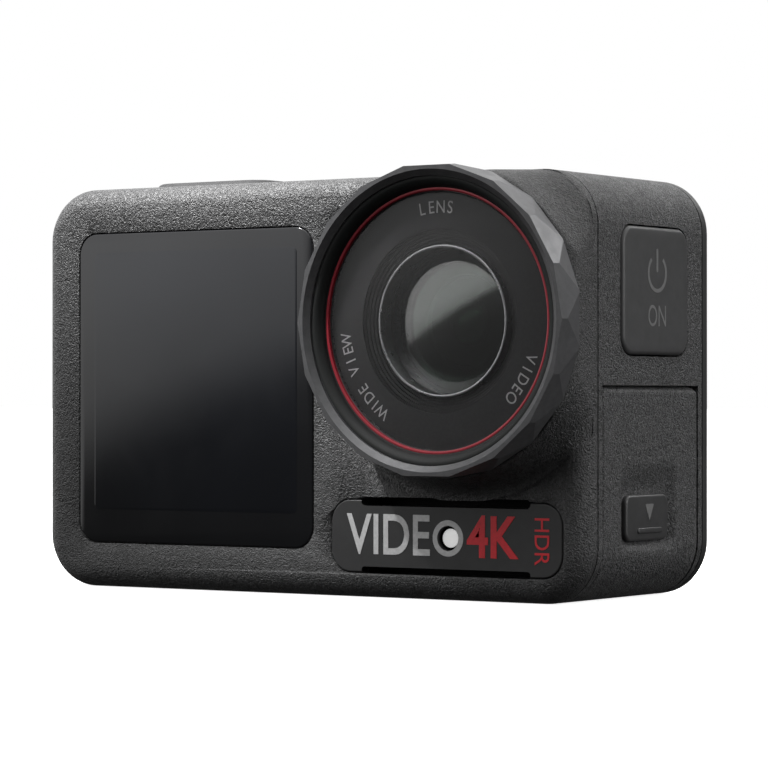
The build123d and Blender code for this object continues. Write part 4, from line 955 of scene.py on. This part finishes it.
class CAMERA_OT_name_plate(bpy.types.Operator):
    """Grey and red letters, the pale ring of the light sensor and the floor of its hole"""

    bl_idname = "camera_looks.name_plate"
    bl_label = "Name plate"

    type_size = 1.37             # type size over the height of a capital
    ring_gap = 0.02 * MM         # between the hole and its printed ring
    ring_width = 0.56 * MM
    ring_height = 0.03 * MM
    well_depth = 0.62 * MM
    diffuser_share = 0.76        # radius of the diffuser over that of the hole
    diffuser_height = 0.12 * MM

    def execute(self, context):
        settings = context.scene.camera_looks
        upright = (math.pi / 2, 0, 0)
        low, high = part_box("light_sensor_window")
        hole_x = (low.x + high.x) / 2
        hole_z = (low.z + high.z) / 2
        hole_radius = half_width("light_sensor_window")
        size = settings.letter_height * self.type_size
        face = FRONT_Y - 0.01 * MM
        rise = 0.03 * MM
        words = letters("plate_letters", settings.plate_words, size, (hole_x - 2.1 * MM, face, hole_z),
                        upright, rise, squeeze=0.83, weight=0.07 * MM, align="RIGHT")
        close(words, BODY, LOOK["ink"], "mask_print")
        number = letters("plate_number", "4K", size, (hole_x + 2.35 * MM, face, hole_z),
                         upright, rise, squeeze=0.86, weight=0.12 * MM, align="LEFT")
        close(number, BODY, LOOK["red_ink"], "accent_red")
        side = letters("plate_side_word", "HDR", size * 0.42, (hole_x + 11.1 * MM, face, hole_z),
                       (math.pi / 2, math.pi / 2, 0), rise, squeeze=0.95)
        close(side, BODY, LOOK["red_ink"], "accent_red")
        self.sensor_ring(hole_x, hole_z, hole_radius, face)
        self.sensor_well(hole_x, hole_z, hole_radius)
        return {"FINISHED"}

    def sensor_ring(self, x, z, radius, face):
        """Pale printed ring round the light sensor hole."""
        piece = disc("sensor_ring", radius + self.ring_gap + self.ring_width, (x, face, z), 64)
        bpy.ops.mesh.inset(thickness=self.ring_width, depth=0)
        bpy.ops.mesh.delete(type="FACE")
        thicken((0, self.ring_height, 0))
        close(piece, BODY, LOOK["ink"], "mask_print")

    def sensor_well(self, x, z, radius):
        """Floor of the hole, near-black as painted shade, with a smaller white diffuser standing on it."""
        place = (x, FRONT_Y + self.well_depth, z)
        well = disc("sensor_well", radius, place, 64)
        thicken((0, 0.1 * MM, 0))
        close(well, BODY, LOOK["void"], "lens_black")
        # The diffuser's finish glows: painted light that brightens it in the shade of the hole.
        window = disc("sensor_diffuser", radius * self.diffuser_share, place, 48)
        pull((0, -self.diffuser_height, 0))
        bpy.ops.mesh.bevel(offset=0.05 * MM, segments=3, affect="EDGES")
        face_outward()
        close(window, BODY, LOOK["white"], "diffuser_white", "light_sensor_window")


class CAMERA_OT_buttons(bpy.types.Operator):
    """Power and record buttons with soft rims and engraved marks"""

    bl_idname = "camera_looks.buttons"
    bl_label = "Buttons"

    record_drop = 0.35 * MM      # how far the record key's crown lies below its box

    def execute(self, context):
        self.power()
        self.record()
        return {"FINISHED"}

    def power(self):
        """Tall key on the side, flush with its rim."""
        low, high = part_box("power_button")
        near = low + Vector((KEY_FLANGE, KEY_FLANGE, KEY_FLANGE))
        far = high - Vector((0, KEY_FLANGE, KEY_FLANGE))
        piece = slab("power_key_cap", near, far, 0, 1.9 * MM, 0.45 * MM, 1, edge_steps=5)
        bpy.ops.mesh.inset(thickness=0.6 * MM, depth=0)
        close(piece, "power_key", LOOK["button"], "button_plastic", "power_button")
        face = high.x
        y = (low.y + high.y) / 2
        z = (low.z + high.z) / 2
        facing = (math.pi / 2, 0, math.pi / 2)
        self.power_symbol(face, y + 0.15 * MM, z + 1.85 * MM)
        place = (face, y + 0.15 * MM, z - 2.65 * MM)
        words = letters("power_word", "ON", 3.1 * MM, place, facing, squeeze=0.8)
        close(words, "power_key", LOOK["mark"], "button_plastic")

    def power_symbol(self, face, y, z):
        """Open ring with an upright bar in its gap."""
        radius = 2.0 * MM
        stroke = 0.38 * MM
        gap = math.radians(38)
        ring = disc("power_ring", radius, (face, y, z), 72, (0, math.pi / 2, 0))
        bpy.ops.mesh.inset(thickness=stroke, depth=0)
        bpy.ops.mesh.delete(type="FACE")
        choose(ring, "FACE", lambda f: self.in_gap(f.calc_center_median(), y, z, gap))
        bpy.ops.mesh.delete(type="FACE")
        thicken((MARK_HEIGHT, 0, 0))
        bar = start("power_bar", bpy.ops.mesh.primitive_plane_add, size=1, location=(face, y, z + 1.3 * MM),
                    rotation=(0, math.pi / 2, 0), scale=(2.4 * MM, stroke, 1))
        bpy.ops.mesh.bevel(offset=0.16 * MM, segments=4, affect="VERTICES")
        thicken((MARK_HEIGHT, 0, 0))
        deselect()
        close(join([ring, bar], "power_mark"), "power_key", LOOK["mark"], "button_plastic")

    def in_gap(self, point, y, z, gap):
        """Whether a point lies in the gap at the top of the ring."""
        return abs(math.atan2(point.y - y, point.z - z)) < gap

    def record(self):
        """Domed key on the top with a red dot."""
        low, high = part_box("record_button")
        near = low + Vector((KEY_FLANGE, KEY_FLANGE, KEY_FLANGE))
        far = high - Vector((KEY_FLANGE, KEY_FLANGE, self.record_drop))
        piece = slab("record_key_cap", near, far, 2, 3.0 * MM, 0.8 * MM, 1, edge_steps=6)
        bpy.ops.mesh.inset(thickness=1.4 * MM, depth=0)
        close(piece, "record_key", LOOK["key"], "button_plastic", "record_button")
        centre = ((low.x + high.x) / 2, (low.y + high.y) / 2, far.z)
        dot = disc("record_dot", 1.5 * MM, centre, 48, (0, 0, 0))
        bpy.ops.mesh.inset(thickness=0.3 * MM, depth=0.01 * MM)
        close(dot, "record_key", LOOK["red_ink"], "accent_red")


class CAMERA_OT_port_latch(bpy.types.Operator):
    """Sliding latch of the port cover, with a soft rim, a grip ridge and an arrow"""

    bl_idname = "camera_looks.port_latch"
    bl_label = "Port latch"

    plate = 0.55 * MM            # thickness of the visible plate
    hook_thickness = 0.8 * MM
    half_length = 2.5 * MM       # of the hook and of the ridge
    mark_shift = 0.42 * MM       # of the arrow and the ridge, towards the back
    overlap = 0.05 * MM

    def execute(self, context):
        low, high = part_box("port_latch")
        near = Vector((high.x - self.plate, low.y, low.z))
        piece = slab("port_latch_plate", near, high, 0, 0.95 * MM, 0.28 * MM, 1, edge_steps=5)
        close(piece, "port_door_latch", LOOK["latch"], "latch_plastic", "port_latch")
        y = (low.y + high.y) / 2
        z = (low.z + high.z) / 2
        self.hook(low, high, y)
        self.arrow(high.x, y + self.mark_shift, z + 0.55 * MM)
        self.ridge(high.x, y + self.mark_shift, z - 1.3 * MM)
        return {"FINISHED"}

    def hook(self, low, high, y):
        """Bar behind the cover, with the neck that joins it to the plate."""
        near = (low.x, y - self.half_length, low.z)
        far = (low.x + self.hook_thickness, y + self.half_length, high.z)
        piece = slab("latch_hook", near, far, 0, 0.5 * MM, 0.12 * MM, -1)
        choose(piece, "FACE", lambda f: f.normal.x > 0.99)
        bpy.ops.mesh.inset(thickness=1.0 * MM, depth=0)
        pull((high.x - self.plate - far[0] + self.overlap, 0, 0))
        close(piece, "port_door_latch", LOOK["latch"], "latch_plastic")

    def arrow(self, face, y, z):
        """Long narrow triangle that points down, the way the latch slides."""
        piece = start("latch_arrow", bpy.ops.mesh.primitive_plane_add, size=1, location=(face, y, z),
                      rotation=(0, math.pi / 2, 0), scale=(1.7 * MM, 1.75 * MM, 1))
        choose(piece, "VERT", lambda v: v.co.z < z)
        bpy.ops.mesh.merge(type="CENTER")
        bpy.ops.mesh.select_all(action="SELECT")
        bpy.ops.mesh.bevel(offset=0.1 * MM, segments=3, affect="VERTICES")
        thicken((MARK_HEIGHT, 0, 0))
        close(piece, "port_door_latch", LOOK["mark"], "latch_plastic")

    def ridge(self, face, y, z):
        """Raised bar that a fingernail pulls."""
        half_height = 0.28 * MM
        low = (face - 0.1 * MM, y - self.half_length, z - half_height)
        high = (face + 0.16 * MM, y + self.half_length, z + half_height)
        piece = slab("latch_ridge", low, high, 0, 0.26 * MM, 0.12 * MM, 1, corner_steps=5)
        close(piece, "port_door_latch", LOOK["latch"], "latch_plastic")


class CAMERA_OT_stage(bpy.types.Operator):
    """Pale floor, soft lights and the view"""

    bl_idname = "camera_looks.stage"
    bl_label = "Stage"

    lamps = (                    # name, place, diameter, power
        ("top_light", (-0.15, -0.3, 0.8), 0.7, 2.2),
        ("rear_light", (0.32, 0.6, 0.55), 0.35, 1.8),
        ("side_light", (0.8, 0.1, 0.24), 0.5, 4.2),
    )
    spot_place = (-0.19, -0.26, 0.47)
    spot_target = (-0.024, -0.013, 0.084)
    spot_angle = 9.5
    spot_power = 75
    sky_axis = (-0.5, 0.0, 0.87)  # the sky brightens in this direction, by these stops
    sky_stops = ((0.0, 0.03), (0.25, 0.06), (0.28, 0.1), (0.304, 0.22), (0.334, 0.44), (0.36, 0.65),
                 (0.5, 0.9))
    sky_strength = 1.6
    view_place = (197.9 * MM, -289.6 * MM, 20.5 * MM)
    view_target = (1.93 * MM, 0.0, 22.23 * MM)

    def execute(self, context):
        self.floor()
        self.world(context.scene)
        for lamp in self.lamps:
            self.lamp(*lamp)
        self.spot()
        self.view(context.scene)
        context.scene.view_settings.view_transform = "Standard"
        return {"FINISHED"}

    def floor(self):
        """White floor that catches shadows and stays out of the reflections."""
        deselect()
        bpy.ops.mesh.primitive_plane_add(size=12, location=(0, 0, -0.02 * MM))
        floor = bpy.context.object
        floor.name = "floor"
        finish = Finish("pale_floor", (0.9, 0.9, 0.9), 0.8)
        finish.tint(finish.noise(3), 0.99, 1.0)
        finish.shader.inputs["Emission Color"].default_value = (1, 1, 1, 1)
        finish.shader.inputs["Emission Strength"].default_value = 0.85
        floor.data.materials.append(finish.material)
        floor.visible_glossy = False
        floor.visible_transmission = False
        floor.visible_diffuse = False

    def world(self, scene):
        """White behind everything; for light and reflections, brighter towards the upper left."""
        scene.world = bpy.data.worlds.new("studio")
        scene.world.use_nodes = True
        nodes = scene.world.node_tree.nodes
        links = scene.world.node_tree.links
        seen = nodes["Background"]
        seen.inputs["Color"].default_value = (1, 1, 1, 1)
        seen.inputs["Strength"].default_value = 1.0
        direction = nodes.new("ShaderNodeTexCoord")
        towards = nodes.new("ShaderNodeVectorMath")
        towards.operation = "DOT_PRODUCT"
        towards.inputs[1].default_value = Vector(self.sky_axis).normalized()
        links.new(direction.outputs["Generated"], towards.inputs[0])
        ramp = nodes.new("ShaderNodeValToRGB")
        for index, (position, level) in enumerate(self.sky_stops):
            stop = ramp.color_ramp.elements[index] if index < 2 else ramp.color_ramp.elements.new(position)
            stop.position = position
            stop.color = (*grey(level), 1)
        links.new(towards.outputs["Value"], ramp.inputs["Fac"])
        lit = nodes.new("ShaderNodeBackground")
        lit.inputs["Strength"].default_value = self.sky_strength
        links.new(ramp.outputs["Color"], lit.inputs["Color"])
        path = nodes.new("ShaderNodeLightPath")
        mix = nodes.new("ShaderNodeMixShader")
        links.new(path.outputs["Is Camera Ray"], mix.inputs["Fac"])
        links.new(lit.outputs["Background"], mix.inputs[1])
        links.new(seen.outputs["Background"], mix.inputs[2])
        links.new(mix.outputs["Shader"], nodes["World Output"].inputs["Surface"])

    def aimed(self, thing, name, place, target):
        """Names a lamp or camera and points it at a target."""
        thing.name = name
        thing.rotation_euler = (Vector(target) - Vector(place)).to_track_quat("-Z", "Y").to_euler()
        return thing

    def lamp(self, name, place, size, power):
        """Soft round lamp aimed at the middle of the camera."""
        deselect()
        bpy.ops.object.light_add(type="AREA", location=place)
        lamp = self.aimed(bpy.context.object, name, place, (0, 0, 0.022))
        lamp.data.shape = "DISK"
        lamp.data.size = size
        lamp.data.energy = power
        lamp.visible_camera = False

    def spot(self):
        """Soft-edged spot that brightens the upper corner of the front."""
        deselect()
        bpy.ops.object.light_add(type="SPOT", location=self.spot_place)
        lamp = self.aimed(bpy.context.object, "corner_light", self.spot_place, self.spot_target)
        lamp.data.energy = self.spot_power
        lamp.data.spot_size = math.radians(self.spot_angle)
        lamp.data.spot_blend = 1.0
        lamp.data.shadow_soft_size = 0.01
        lamp.visible_camera = False

    def view(self, scene):
        """Long lens from the front right, level with the camera."""
        deselect()
        bpy.ops.object.camera_add(location=self.view_place)
        camera = self.aimed(bpy.context.object, "view", self.view_place, self.view_target)
        camera.data.sensor_width = 36
        camera.data.lens = scene.camera_looks.focal_length
        camera.data.clip_start = 0.01
        scene.camera = camera


class CAMERA_PT_looks(bpy.types.Panel):
    """Sidebar list of the pieces"""

    bl_idname = "CAMERA_PT_looks"
    bl_label = "Action camera"
    bl_space_type = "VIEW_3D"
    bl_region_type = "UI"
    bl_category = "Camera"

    def draw(self, context):
        settings = context.scene.camera_looks
        for field in CameraLooks.__annotations__:
            self.layout.prop(settings, field)
        for piece in PIECES:
            self.layout.operator(piece.bl_idname)


PIECES = (
    CAMERA_OT_frame_finish,
    CAMERA_OT_front_shell,
    CAMERA_OT_seams,
    CAMERA_OT_port_cover,
    CAMERA_OT_lens,
    CAMERA_OT_lens_cover,
    CAMERA_OT_front_screen,
    CAMERA_OT_rear_screen,
    CAMERA_OT_name_plate,
    CAMERA_OT_buttons,
    CAMERA_OT_port_latch,
    CAMERA_OT_stage,
)
CLASSES = (CameraLooks, *PIECES, CAMERA_PT_looks)


def register():
    for each in CLASSES:
        bpy.utils.register_class(each)
    bpy.types.Scene.camera_looks = PointerProperty(type=CameraLooks)


def unregister():
    del bpy.types.Scene.camera_looks
    for each in reversed(CLASSES):
        bpy.utils.unregister_class(each)


def main():
    """Registers the add-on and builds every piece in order."""
    register()
    for piece in PIECES:
        group, action = piece.bl_idname.split(".")
        getattr(getattr(bpy.ops, group), action)()


if __name__ == "__main__":
    main()
